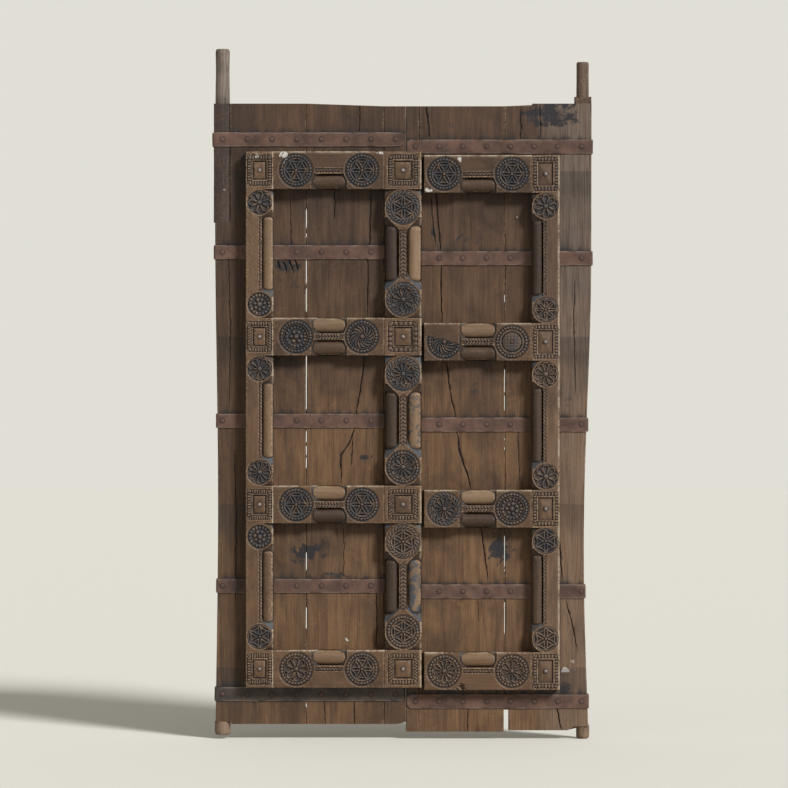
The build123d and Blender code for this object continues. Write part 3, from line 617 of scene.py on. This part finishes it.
def carved_star(q, angle, form, count):
    """Depths inside a rosette, q running from 0 at the hub to 1 at its ring.

    Each is drawn in one petal's own coordinates, x out along it and y across. star: raised lines drawn with
    compasses, arcs from the hub to each tip and arcs between the tips, all else cut deeper the farther it is
    from a line. petals: U-shaped scoops with raised outlines. balls: domes round the hub. whirl: ridges that
    curl outwards. rings: a low dotted dome in a sunk ring.
    """
    step = 2 * np.pi / count
    fold = (angle + step / 2) % step - step / 2
    x, y = q * np.cos(fold), np.abs(q * np.sin(fold))
    hub = 0.13
    if form == "star":
        half = 0.8 / count
        away = (0.25 - half**2) / (2 * half)
        petal = np.hypot(x - 0.5, y + away) - np.hypot(0.5, away)
        lean = np.abs(fold) - step / 2
        arc = np.hypot(q * np.cos(lean) - 2 * np.cos(step / 2), q * np.sin(lean)) - 1
        line = np.minimum(np.minimum(np.abs(petal), np.abs(arc)), np.abs(1 - q))
        depth = np.interp(line, [0, 0.035, 0.075, 0.2], [-0.2, -0.8, -4.5, -7])
    elif form == "petals":
        cap = min(0.25, 0.8 * np.tan(step / 2))
        outline = np.maximum(y - x * cap / (0.97 - cap), np.hypot(np.clip(x - 0.97 + cap, 0, None), y) - cap)
        depth = np.interp(outline, [-0.1, -0.035, 0, 0.03, 0.06], [-5.6, -1.2, -0.1, -1.2, -5])
        hub = 0.2
    elif form == "balls":
        ball = dome(np.hypot(q * np.cos(fold) - 0.43, q * np.sin(fold)), 0.17)
        blocks = held((q - 0.68) / 0.06) * held((0.99 - q) / 0.05)
        blocks = blocks * ridges(9 * angle)
        depth = -7 + 6.4 * np.maximum(ball, 0.7 * blocks)
        hub = 0.19
    elif form == "whirl":
        ridge = np.abs(np.cos(count * (angle + 1.0 * q) / 2)) ** 0.8
        depth = -5.6 + 5.4 * ridge * held((q - 0.2) / 0.1) * held((0.99 - q) / 0.05)
        hub = 0.2
    else:
        dots = np.abs(np.cos(11 * q * np.cos(angle)) * np.cos(11 * q * np.sin(angle)))
        depth = -4.6 + 3.4 * np.sqrt(held(1 - (q / 0.85) ** 2)) + 1.0 * dots
        depth = np.where(q > 0.82, np.where(q > 0.9, -0.2, -6.0), depth)
    return np.where(q < hub * 1.35, -3.8 + 4.8 * dome(q, hub), depth)


def rosette(member, centre, R, kind, ring, soot):
    """A carved rosette: a groove round it, a ring of beads or rope strands if it has one, and its flower.

    Beads are domes evenly spaced round the ring. Strands are a cosine of the angle, slanted by the distance
    across the ring. The years have left the carving sooty.
    """
    here = window(member, centre, R + 6)
    x, z = here["U"], here["V"] - centre
    r, angle = np.hypot(x, z), np.arctan2(z, x) + np.pi / 2
    carved, flower = -2.6 * np.exp(-((r - R) / 1.7) ** 2), 0.95 * R
    if ring:
        flower, across = 0.68 * R, (r - 0.85 * R) / (0.115 * R)
        if ring == "beads":
            step = 2 * np.pi / 29
            around = ((angle + step / 2) % step - step / 2) * r
            swell = dome(np.hypot(around, r - 0.85 * R), 0.092 * R)
        else:
            swell = ridges(12 * angle + 1.5 * across) * np.sqrt(held(1 - across**2))
        carved = np.where(np.abs(across) < 1, -3.8 + 4.1 * swell, carved)
    inner = carved_star(r / flower, angle, *kind)
    here["H"][:] = np.where(r < R + 4, np.where(r < flower, inner, carved), here["H"])
    fade = held((R + 1.5 - r) / 3) * (0.9 + 0.35 * mottle(here["U"], here["V"], 46, int(centre) + 3))
    here["soot"][:] = np.maximum(here["soot"], np.clip(soot * fade, 0, 0.97))


def rope(member, ends, middle, half, pitch, double):
    """A rope let into the wood: strands are a cosine along it, slanted one way, or both ways from its middle.

    Each strand bows up as a half circle across the rope, or across each half of a double one. A small ring is
    punched at each end.
    """
    here = window(member, (ends[0] + ends[1]) / 2, (ends[1] - ends[0]) / 2 + 8)
    H, U, V = here["H"], here["U"], here["V"]
    off = (U - middle) / half
    slant = np.abs(off) if double else off
    strand = ridges(np.pi * (V / pitch + 0.55 * slant))
    bow = np.sqrt(held(1 - ((slant - 0.5) / 0.55 if double else slant) ** 2))
    run = (V > ends[0]) & (V < ends[1]) & (np.abs(off) < 1.1)
    H[run] = (-4.0 + 4.3 * strand * bow)[run]
    here["soot"][run] = 0.35
    for end in ends:
        ring = np.hypot(U - middle, V - end)
        H[:] = np.where(ring < 6.4, -2.8 + 3 * np.exp(-((ring - 4.2) / 1.2) ** 2) + 1.8 * dome(ring, 1.8), H)


def square(member, level, border, groove, raised, blocks, pyramid, soot):
    """A framed square: a border of small rounded blocks, corner leaves, a sunk groove and a raised panel.

    Blocks run at an even pitch along each side, some slanted as a rope's strands are. The panel is a pillow,
    highest in the middle, or a low four-sided pyramid.
    """
    here = window(member, level, border[1] + 4)
    H, U, V = here["H"], here["U"], here["V"]
    du, dv = np.abs(U), np.abs(V - level)
    wide, tall = border[0] - groove[0], border[1] - groove[1]
    in_border = (du < border[0]) & (dv < border[1]) & ((du > groove[0] + 1.6) | (dv > groove[1] + 1.6))
    upright = (du > groove[0]) & (dv < groove[1] + 0.35 * tall)
    run = np.where(upright, (V - level) / (2 * groove[1] + 0.7 * tall) * blocks[1],
                   U / (2 * groove[0] + 0.7 * wide) * blocks[0])
    off = np.where(upright, (du - groove[0] - wide / 2 - 0.8) / (wide / 2 - 1.4),
                   (dv - groove[1] - tall / 2 - 0.8) / (tall / 2 - 1.4))
    slant = 0.5 if blocks[2] else 0.0
    swell = ridges(np.pi * (run + 0.5 * (blocks[0] % 2) + slant * off * upright))
    swell = swell * held(1 - off**4) ** 0.5
    corner = (du > groove[0] + 0.35 * wide) & (dv > groove[1] + 0.35 * tall)
    into_u, into_v = (du - groove[0]) / wide, (dv - groove[1]) / tall
    leaf = ridges((into_u - into_v) * 5) * held(1.35 - np.hypot(into_u - 0.6, into_v - 0.6))
    H[in_border] = (-4.2 + 4.5 * np.where(corner, leaf, swell))[in_border]
    in_groove = (du < groove[0]) & (dv < groove[1])
    H[in_groove] = np.where((du > groove[0] - 1.8) | (dv > groove[1] - 1.8), -0.4, -5.4)[in_groove]
    on_panel = (du < raised[0]) & (dv < raised[1])
    slope = -0.2 - 5 * np.maximum(du / raised[0], dv / raised[1])
    pillow = -0.6 - 2.4 * ((du / raised[0]) ** 4 + (dv / raised[1]) ** 4)
    H[on_panel] = (slope if pyramid else pillow)[on_panel]
    here["soot"][in_border] = soot
    here["grime"][:] = np.maximum(here["grime"], np.clip(1.45 - np.hypot(U, V - level) / 8, 0, 0.75))


def blurred(H, cells):
    """Each height averaged with all those up to so many cells away, along and then across."""
    for way in (0, 1):
        padded = np.pad(H, [(cells, cells) if axis == way else (0, 0) for axis in (0, 1)], mode="edge")
        total = np.cumsum(np.insert(padded, 0, 0, axis=way), axis=way)
        size, reach = H.shape[way], 2 * cells + 1
        H = (total.take(range(reach, size + reach), way) - total.take(range(size), way)) / reach
    return H


# Specks of white paint on the carving: spot on the photograph, half sizes in pixels, strength.
chalk = [((284, 155), (6, 4), 0.62), ((284.3, 163), (0.9, 0.9), 1.2), ((285.6, 160), (0.8, 0.8), 1.2),
         ((459, 160), (3, 2.4), 0.56), ((429, 190), (6, 2.6), 0.58), ((255, 156), (5, 3), 0.5),
         ((421, 700), (2, 3), 0.56), ((560, 655), (2, 8), 0.5), ((381, 153.5), (6, 1.6), 0.5)]


def finish_member(name, node, material, upright, middle, half, ends, member, lap=0.0):
    """A carved member's section carried along it: the carved front, and flat sides and back.

    Arrises wear away as the distance from the edge falls. Hollows get painted shade: the darkening is how far
    a spot lies below its neighbourhood. Wear is how far it stands above it, and a painted highlight runs
    along the edge that faces the light. lap is how much of the back, on the right, is cut 6 mm clear.
    """
    U, V, H = member["U"], member["V"], member["H"]
    edge = np.minimum(half - np.abs(U), np.minimum(V - ends[0], ends[1] - V))
    seed = int(middle)
    H = H - 2.1 * np.exp(-edge / 1.5) - 0.35 * np.clip(mottle(U, V * 0.6, 70, seed), -1, 1) - 0.35
    # Painted shade: each hollow of the carving is darkened by how far it lies below its neighbourhood.
    local, broad = blurred(H, 2), blurred(H, 7)
    hollow, proud = local - H, held(H - local)
    grime = held(hollow / 1.5) + 0.4 * held((broad - H) / 5)
    grime = np.clip(grime * 0.9 * (1 - 0.55 * (member["paint"] > 0.4)) + member["grime"], 0, 0.96)
    # Painted highlight: an upright's right side and a rail's top, the edges facing the light, are lighter.
    lit = np.exp(-(half - U) / 2.6) * held(0.75 + mottle(U, V, 60, seed + 1))
    arris = np.exp(-edge / 2.4) * held(0.65 + mottle(U, V, 95, seed + 2))
    worn = 0.7 * proud + 0.45 * arris + 0.95 * lit
    worn = held(worn * (1 - 0.85 * held(member["soot"] + member["oiled"])) + member["worn"])
    # Painted highlight: a pale cream line along the same edge that faces the light.
    highlight_cream = np.exp(-(half - U) / 2.2) * held(0.85 + mottle(U * 0, V, 130, seed + 4))
    if lap:
        back_u = [half, half, half, half - lap, half - lap, -half, -half]
        back_y = [side_y, lap_y - 3, lap_y, lap_y, front, front, side_y]
    else:
        back_u = [half, half, half / 3, -half / 3, -half, -half, -half]
        back_y = [side_y, front, front, front, front, front - 3, side_y]
    rows, back_points = H.shape[0], len(back_u)
    ring_u = np.concatenate([U, np.tile(back_u, (rows, 1))], axis=1) + middle
    ring_y = np.concatenate([face - H, np.tile(back_y, (rows, 1))], axis=1)
    ring_v = np.concatenate([V, np.tile(V[:, :1], (1, back_points))], axis=1)
    order = (ring_u, ring_y, ring_v) if upright else (ring_v, ring_y, ring_u)
    x, z = (U + middle, V) if upright else (V, U + middle)
    marks = {"grime": grime, "worn": worn, "plaster": spotted(chalk, x, z), "chalked": highlight_cream}
    marks |= {mark: member[mark] for mark in ("paint", "soot", "oiled", "pale")}
    unmarked = np.zeros((rows, back_points))
    marks = {mark: np.concatenate([values, unmarked], axis=1) for mark, values in marks.items()}
    build(name, [skin(np.stack(order, axis=-1), **marks)], material, node)


stile_wood = old_wood("stile_wood", 2, (0.142, 0.078, 0.039, 1), (0.08, 0.043, 0.021, 1),
                      bump=0.25, rough=0.55, cooler=0.15)
rail_wood = old_wood("rail_wood", 0, (0.13, 0.07, 0.034, 1), (0.072, 0.038, 0.0185, 1),
                     bump=0.25, rough=0.55, cooler=0.6)
dull_stile_wood = old_wood("dull_stile_wood", 2, (0.168, 0.099, 0.057, 1), (0.094, 0.054, 0.031, 1),
                           bump=0.25, rough=0.58, cooler=0.3)

# Heights of the rails' middles, and the flowers: a form and its number of petals, balls or ridges.
left_levels, right_levels = (1696, 1197.6, 695, 202.5), (1685, 1182, 682, 196)
star, wide_star = ("star", 6), ("star", 8)
six, eight, ten, twelve = ("petals", 6), ("petals", 8), ("petals", 10), ("petals", 12)
balls, whirl, rings = ("balls", 7), ("whirl", 15), ("rings", 6)

# Each stile's name, node, wood, middle, half width, levels, sides with bolsters, rosettes top down with
# their radius, ring and soot, how flaked with paint each bay's bolster is on the right, the tone on each
# side (above 0 a painted highlight on bolsters facing the light on the right, below 0 painted shade on
# those on the left), and its squares' outer border, groove and raised panel, with their blocks top down.
left_stile_x, centre_stile_x, right_stile_x = 113.25, 543, 970.25
stiles = (
    ("left_stile", "left_outer_stile", stile_wood, left_stile_x, narrow_half, left_levels, (1,),
     (eight, balls, ten, twelve, balls, star), 36, (None,) * 6, (0.92, 0.95, 0.85, 0.85, 0.95, 0.85),
     (0.0, 0.2, 0.3), {1: (0.3, 0.22, 0.0)},
     ((37, 46.5), (23, 30.5), (17, 25)), ((7, 9, 0), (7, 9, 1), (8, 9, 0), (8, 9, 0))),
    ("centre_stile_carved", "centre_stile", stile_wood, centre_stile_x, wide_half, left_levels, (-1, 1),
     (star, six, twelve, twelve, star, star), 51, ("rope", "rope", "rope", "beads", "rope", "beads"),
     (0.9, 0.95, 0.9, 0.85, 0.5, 0.55), (0.0, 0.38, 0.42), {-1: (-0.96, -0.9, -0.92), 1: (0.6, 0.45, 0.4)},
     ((45, 46.5), (30, 31), (22.5, 25)), ((9, 9, 0), (5, 5, 0), (8, 8, 1), (8, 8, 1))),
    ("right_stile", "right_outer_stile", dull_stile_wood, right_stile_x, narrow_half, right_levels, (-1,),
     (eight, wide_star, ten, eight, star, star), 37, (None,) * 6, (0.75, 0.55, 0.4, 0.6, 0.9, 0.5),
     (0.0, 0.0, 0.0), {-1: (-0.95, -0.88, -0.7)},
     ((37.5, 51), (25, 36.5), (17.5, 29)), ((6, 9, 0),) * 4),
)
for (name, node, wood, middle, half, levels, sides, kinds, R, bands, soots, flaked, tones, frames,
     blocks) in stiles:
    wide = half == wide_half
    from_rail, spine, inset, start = (55, 12, 29, 52) if wide else (40, 8, 22, 41)
    ends = (levels[-1] - rail_half, levels[0] + rail_half)
    member = blank(half, ends, 1.5)
    for bay, (high, low) in enumerate(zip(levels, levels[1:])):
        upper, lower = high - rail_half - from_rail, low + rail_half + from_rail
        for side in sides:
            # A pocket floor's lower end faces up and gets more blue-grey: a painted sky sheen over paint
            # traces.
            pocket(member, (lower, upper), side, half, spine, inset, start, R + 4, wide, (0.52, 0.1),
                   flaked[bay] * (side > 0), tones[side][bay])
            corner_chip(member, upper, side, 1, half, from_rail, R + 4)
            corner_chip(member, lower, side, -1, half, from_rail, R + 4)
        if wide:
            rope(member, (lower + R + 16, upper - R - 16), 0, 9.5, 11.4, True)
        else:
            rope(member, (lower + R + 9, upper - R - 9), 3 * sides[0], 4.4, 10.5, False)
        for number, centre in ((2 * bay, upper), (2 * bay + 1, lower)):
            rosette(member, centre, R, kinds[number], bands[number], soots[number])
    for level, row_blocks, soot in zip(levels, blocks, (0.5, 0.35, 0.25, 0.25)):
        square(member, level, *frames, row_blocks, name == "right_stile", soot)
    if name == "left_stile":
        member["worn"] += 0.16 * held((member["V"] - 900) / 500) * (member["U"] < 2)
    finish_member(name, node, wood, True, middle, half, ends, member, 47.5 if wide else 0.0)

# Rails: both leaves have four, with two rosettes each, and bolsters below, on both sides, or above. One
# flower of the right leaf is half worn away, and one rail's edge is gnawed.
left_kinds = ((star, star), (("balls", 6), whirl), (star, star), (eight, star))
right_kinds = ((star, star), (whirl, rings), (twelve, balls), (twelve, ten))
left_soots = ((0.97, 0.97), (0.95, 0.85), (0.97, 0.85), (0.5, 0.6))
right_soots = ((0.95, 0.95), (0.85, 0.6), (0.85, 0.75), (0.5, 0.5))
# Bolsters above the spine face up: painted highlight; those below face down: painted shade.
above_tones, below_tones = (0, 0.45, 0.55, 0.3), (-0.22, -0.38, -0.78, 0)
left_centres, right_centres = (222.5, 420), (666, 869)
for leaf, levels, span, centres, kinds, soots in (
    ("left", left_levels, (154.5, 488), left_centres, left_kinds, left_soots),
    ("right", right_levels, (606, 929), right_centres, right_kinds, right_soots),
):
    for row, (level, part) in enumerate(zip(levels, ("top", "upper", "lower", "bottom"))):
        inner_row = row in (1, 2)
        ends = (span[0] + 0.1, span[1] - 0.1)
        member = blank(rail_half, ends, 1.25)
        for side in ((-1,), (-1, 1), (-1, 1), (1,))[row]:
            # Only floors above the spine face up and get blue-grey: a painted sky sheen over paint traces.
            painted, tone = ((0.36, 0.36), above_tones[row]) if side > 0 else ((0, 0), below_tones[row])
            pocket(member, centres, side, rail_half, 11, 45.5, 46.5, 54, False, painted, 0.0, tone)
        rope(member, (centres[0] + 60, centres[1] - 60), 0, 9.5 if inner_row else 4.8, 9, inner_row)
        for centre, kind, soot in zip(centres, kinds[row], soots[row]):
            twisted = leaf == "right" and part == "lower" and centre == centres[0]
            rosette(member, centre, 51, kind, "rope" if twisted else "beads", soot)
        U, V = member["U"], member["V"]
        if leaf == "right" and part == "upper":
            plain = held((U - 4 + 0.25 * (V - centres[0])) / 6) * (V < centres[0] + 46) * (U > -10)
            member["H"] *= 1 - plain
            member["soot"] *= 1 - plain
        if leaf == "right" and part == "bottom":
            broken = np.hypot((V - 718) / 12, (U + 50) / 13) + 0.25 * mottle(U, V, 16, 88)
            member["H"] -= 11 * held(1.2 - broken)
        finish_member(f"{leaf}_{part}_rail", f"{leaf}_rail_{part}", rail_wood, False, level, rail_half, ends,
                      member)

# The iron straps. Flat bars forged by hand, brown with an old dull patina, wrapped round each hinge edge and
# nailed along the front through punched holes.
def rusty_iron(name, light, dark, rough):
    """Forged iron: blotches and fine pitting from noise between two browns, darker where the marks say so."""
    material, add = paint_box(bpy.data.materials.new(name))
    place = add("ShaderNodeTexCoord", {}, output=3)
    broad = add("ShaderNodeTexNoise", {"Vector": place, "Scale": 22.0, "Detail": 6.0, "Roughness": 0.65})
    pitted = add("ShaderNodeTexNoise", {"Vector": place, "Scale": 240.0, "Detail": 4.0, "Roughness": 0.7})
    grime = add("ShaderNodeAttribute", {}, output=2, attribute_name="grime")
    worn = add("ShaderNodeAttribute", {}, output=2, attribute_name="worn")
    half_pitted = add("ShaderNodeMath", {0: pitted, 1: 0.5}, operation="MULTIPLY")
    height = add("ShaderNodeMath", {0: broad, 1: half_pitted}, operation="ADD")
    tone = add("ShaderNodeMapRange", {0: height, 1: 0.58, 2: 0.92})
    colour = shade(dark, light, tone, add)
    colour = shade(colour, (0.018, 0.014, 0.013, 1), grime, add)
    colour = shade(colour, (0.32, 0.25, 0.21, 1), worn, add)
    normal = add("ShaderNodeBump", {"Height": height, "Strength": 0.4, "Distance": 0.002})
    shader = add("ShaderNodeBsdfPrincipled", {"Base Color": colour, "Roughness": rough, "Normal": normal,
                                              "Metallic": 0.25, "Specular IOR Level": 0.4})
    add("ShaderNodeOutputMaterial", {"Surface": shader})
    return material


strap_iron = rusty_iron("strap_iron", (0.152, 0.084, 0.061, 1), (0.085, 0.046, 0.034, 1), 0.7)
worn_strap_iron = rusty_iron("worn_strap_iron", (0.098, 0.074, 0.058, 1), (0.04, 0.029, 0.024, 1), 0.6)
nail_iron = rusty_iron("nail_iron", (0.125, 0.07, 0.053, 1), (0.066, 0.038, 0.029, 1), 0.68)
bright_nail = rusty_iron("bright_nail", (0.24, 0.2, 0.185, 1), (0.12, 0.098, 0.09, 1), 0.5)


strap_middle, half_thick, bend = 25.0, 1.9, 4.0


def strap(level, tip, turn, places, seed):
    """A flat section carried along the strap's path: across the front, round the hinge edge, back behind it.

    The two bends are quarter circles; the tip's corners are cut; the width and the hammered face waver a
    little. tip and turn are X where it starts and where it folds, and places are its nails, ringed with dirt.
    """
    outward = 1.0 if turn > tip else -1.0
    run = np.linspace(tip, turn - outward * bend * 0.5, int(abs(turn - tip) / 3))
    arc = np.linspace(0, np.pi / 2, 5)[1:-1]
    knee = turn + outward * 2 - outward * bend
    tail = np.linspace(turn - outward * 2, turn - outward * 130, 24)
    x = np.concatenate([run, knee + outward * bend * np.sin(arc), np.full(6, turn + outward * 2),
                        knee + outward * bend * np.cos(arc), tail])
    y = np.concatenate([np.full(len(run), -strap_middle), -strap_middle + bend * (1 - np.cos(arc)),
                        np.linspace(-20, 20, 6), strap_middle - bend + bend * np.sin(arc),
                        np.full(len(tail), strap_middle)])
    way = np.stack([np.gradient(x), np.gradient(y)])
    way = way / np.hypot(*way)
    out_x, out_y = (outward * way[1])[:, None], (-outward * way[0])[:, None]
    across = np.linspace(-1, 1, 15)[None]
    length = np.cumsum(np.hypot(np.gradient(x), np.gradient(y)))
    cut = np.clip(9 - np.abs(x - tip), 0, 9) * (y < -24)
    half = 21.3 - cut + 0.5 * mottle(length, 0 * length, 120, seed) - 0.4
    x, y, length, half = (values[:, None] for values in (x, y, length, half))
    lift = half_thick + 0.22 * mottle(length, across * 20, 45, seed + 1)
    lift = lift - 0.7 * np.abs(across) ** 8
    z = level + half * across
    outer = np.stack([x + out_x * lift, y + out_y * lift, z], axis=-1)
    under = np.stack([x - out_x * half_thick + 0 * z, y - out_y * half_thick + 0 * z, z], axis=-1)
    loops = np.concatenate([outer, under[:, [14, 7, 0]]], axis=1)
    grime = np.clip(0.12 + 0.3 * mottle(length, across * 21, 130, seed + 2), 0, 0.5)
    for place_x, place_z in places:
        around = np.hypot(x - place_x, z - place_z) + 60 * (y > 0)
        grime = np.maximum(grime, np.clip(1.3 - np.abs(around - 7.2) / 2.2, 0, 0.9))
    worn = 0.5 * np.abs(across) ** 10 * held(0.6 + mottle(length, 0 * across, 60, seed + 3))
    unmarked = np.zeros((len(x), 3))
    return skin(loops, grime=np.concatenate([grime, unmarked], axis=1),
                worn=np.concatenate([worn, unmarked], axis=1))


def nail_row(level, first, pitch, covered):
    """Eight nails at an even pitch, without those within 7 mm of a stile, given by its middle and half."""
    places = [(first + count * pitch, level) for count in range(8)]
    return [place for place in places if all(abs(place[0] - middle) >= half + 7 for middle, half in covered)]


heads = {"left": [], "right": []}
for leaf, strap_levels, tip, first, pitch, stile_x in (
    ("left", left_straps, 545.5, 0, 74.4, left_stile_x),
    ("right", right_straps, 555.5, 1079, -71.3, right_stile_x),
):
    crossed = [(stile_x, narrow_half), (centre_stile_x, wide_half)]
    for row, (part, level) in enumerate(zip(("top", "upper", "middle", "lower", "bottom"), strap_levels)):
        places = nail_row(level, first, pitch, [] if part in ("top", "bottom") else crossed)
        heads[leaf] += places
        node = f"{leaf}_strap_{part}"
        low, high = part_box(node)
        turn = low.x * 1000 + 4 if leaf == "left" else high.x * 1000 - 4
        iron = worn_strap_iron if node == "left_strap_bottom" else strap_iron
        build(f"{leaf}_{part}_strap", [strap(level, tip, turn, places, row * 5 + len(leaf))],
              iron, node)


# The nails. Forged with low domed heads; those through the carved grid are long, and their points are bent
# over and hammered flat on the back of the boards.
def nail_heads(places, surface, radius, rise, seed, polish):
    """Domes: rings shrink by a cosine as they rise by a sine, and each head is a little out of round.

    polish is how far the tops are rubbed bright.
    """
    shells = []
    around = np.linspace(0, 2 * np.pi, 14, endpoint=False)
    climb = np.array([-0.12, 0.0, 0.35, 0.7, 1.05, 1.35, 1.52])
    draw = np.random.default_rng(seed)
    for x, z in places:
        oval, bumps = draw.uniform(0, 6, 2)
        r = radius * (1 + 0.07 * np.sin(2 * around + oval) + 0.04 * np.sin(5 * around + bumps))
        lean_x, lean_z = draw.uniform(-0.5, 0.5, 2)
        size = np.cos(np.clip(climb, 0, None))[:, None] * r
        height = np.where(climb < 0, -0.6, rise * np.sin(np.clip(climb, 0, None)))[:, None] + 0 * size
        dome_x = x + size * np.cos(around) + lean_x * height / rise
        dome_z = z + size * np.sin(around) + lean_z * height / rise
        shells.append(skin(np.stack([dome_x, surface - height, dome_z], axis=-1),
                           grime=np.clip(0.5 - climb, 0, 0.5)[:, None],
                           worn=polish * np.clip(climb - 0.6, 0, 0.6)[:, None]))
    return shells


def clenches(places, seed):
    """Points bent over on the back: a square rod that narrows to its tip, lying on the boards."""
    draw = np.random.default_rng(seed)
    along = np.array([3.0, 2.0, -4, -9, -13.5, -16.5])[:, None]
    half = np.array([1.6, 2.4, 2.3, 1.9, 1.3, 0.5])[:, None]
    thick = np.array([1.6, 2.3, 2.3, 2.0, 1.5, 0.7])[:, None]
    corner_x, corner_y = np.array([-1, 1, 1, -1]), np.array([0, 0, 1, 1])
    shells = []
    for x, z in places:
        sway = draw.uniform(-0.12, 0.12) * along
        loops = np.stack([x + sway + half * corner_x, back - 0.3 + thick * corner_y,
                          z + along + 0 * corner_x], axis=-1)
        shells.append(skin(loops, grime=0.2, worn=0.0))
    return shells


strap_face = -26.8
lone_nails = {"left": ([(5, 1639)], front, 6, 3, 2, 1.0), "right": ([(885, 1557)], front, 5.5, 3.8, 4, 1.0)}
for leaf, seed in (("left", 1), ("right", 3)):
    build(f"{leaf}_strap_nail_heads",
          nail_heads(heads[leaf], strap_face, 6.4, 1.5, seed, 0.0) + nail_heads(*lone_nails[leaf]),
          nail_iron, f"{leaf}_strap_nails")

left_squares = [(left_stile_x, z) for z in left_levels] + [(centre_stile_x, z) for z in left_levels]
right_squares = [(right_stile_x, z) for z in right_levels]
left_hubs = [(x, z) for z in left_levels for x in left_centres]
right_hubs = [(x, z) for z in right_levels for x in right_centres]
for leaf, kind, replaced, places, proud, radius, rise, seed, polish, iron in (
    ("left", "square", "square", left_squares, 0.9, 6.0, 3.6, 5, 0.6, bright_nail),
    ("right", "square", "square", right_squares, 0.6, 6.0, 3.6, 7, 0.4, bright_nail),
    ("left", "hub", "rosette", left_hubs, 0.0, 4.6, 2.4, 9, 0.3, nail_iron),
    ("right", "hub", "rosette", right_hubs, 0.0, 4.6, 2.4, 11, 0.3, nail_iron),
):
    build(f"{leaf}_{kind}_nail_heads",
          nail_heads(places, face + proud, radius, rise, seed, polish) + clenches(places, seed + 1),
          iron, f"{leaf}_{replaced}_nails")

# The room: a plain pale floor, a pale surround, soft light from high on the right, and the photograph's view,
# straight on from far away. The floor and surround look paler to the camera than the light that they give.
floor_paint, add = paint_box(bpy.data.materials.new("pale_floor"))
seen = add("ShaderNodeLightPath", {})
floor_colour = shade((0.6, 0.58, 0.54, 1), (0.835, 0.82, 0.755, 1), seen, add)
floor_shader = add("ShaderNodeBsdfPrincipled", {"Base Color": floor_colour, "Roughness": 0.85})
add("ShaderNodeOutputMaterial", {"Surface": floor_shader})
floor_mesh = bpy.data.meshes.new("floor")
floor_half, floor_z = 30, -0.0112
floor_corners = [(x * floor_half, y * floor_half, floor_z) for x, y in ((-1, -1), (1, -1), (1, 1), (-1, 1))]
floor_mesh.from_pydata(floor_corners, [], [(0, 1, 2, 3)])
floor_mesh.materials.append(floor_paint)
floor = bpy.data.objects.new("floor", floor_mesh)
bpy.context.scene.collection.objects.link(floor)

world, add = paint_box(bpy.data.worlds.new("surround"))
bpy.context.scene.world = world
seen, mirrored = (add("ShaderNodeLightPath", {}, output=ray) for ray in ("Is Camera Ray", "Is Glossy Ray"))
direct = add("ShaderNodeMath", {0: seen, 1: mirrored}, operation="MAXIMUM")
strength = add("ShaderNodeMapRange", {"Value": direct, "To Min": 0.3, "To Max": 0.78})
surround = add("ShaderNodeBackground", {"Color": (0.96, 0.94, 0.86, 1), "Strength": strength})
add("ShaderNodeOutputWorld", {"Surface": surround})

daylight = bpy.data.lights.new("daylight", "SUN")
daylight.energy, daylight.angle = 3.4, np.radians(14)
holder = bpy.data.objects.new("daylight", daylight)
holder.rotation_mode = "QUATERNION"
holder.rotation_quaternion = Vector((-0.85, 1.0, -0.85)).to_track_quat("-Z", "Y")
bpy.context.scene.collection.objects.link(holder)

# The picture's width takes in 2.364 m in a plane halfway between the boards' face and the grid's.
distance, nearer, seen_width = 12.0, 0.047, 2.364
camera = bpy.data.objects.new("camera", bpy.data.cameras.new("camera"))
bpy.context.scene.collection.objects.link(camera)
camera.location = (0.516, -distance, 1.026)
camera.rotation_euler = (np.pi / 2, 0, 0)
camera.data.sensor_width = 36
camera.data.lens = 36 * (distance - nearer) / seen_width
camera.data.clip_end = 100
bpy.context.scene.camera = camera
bpy.context.scene.view_settings.view_transform = "Standard"
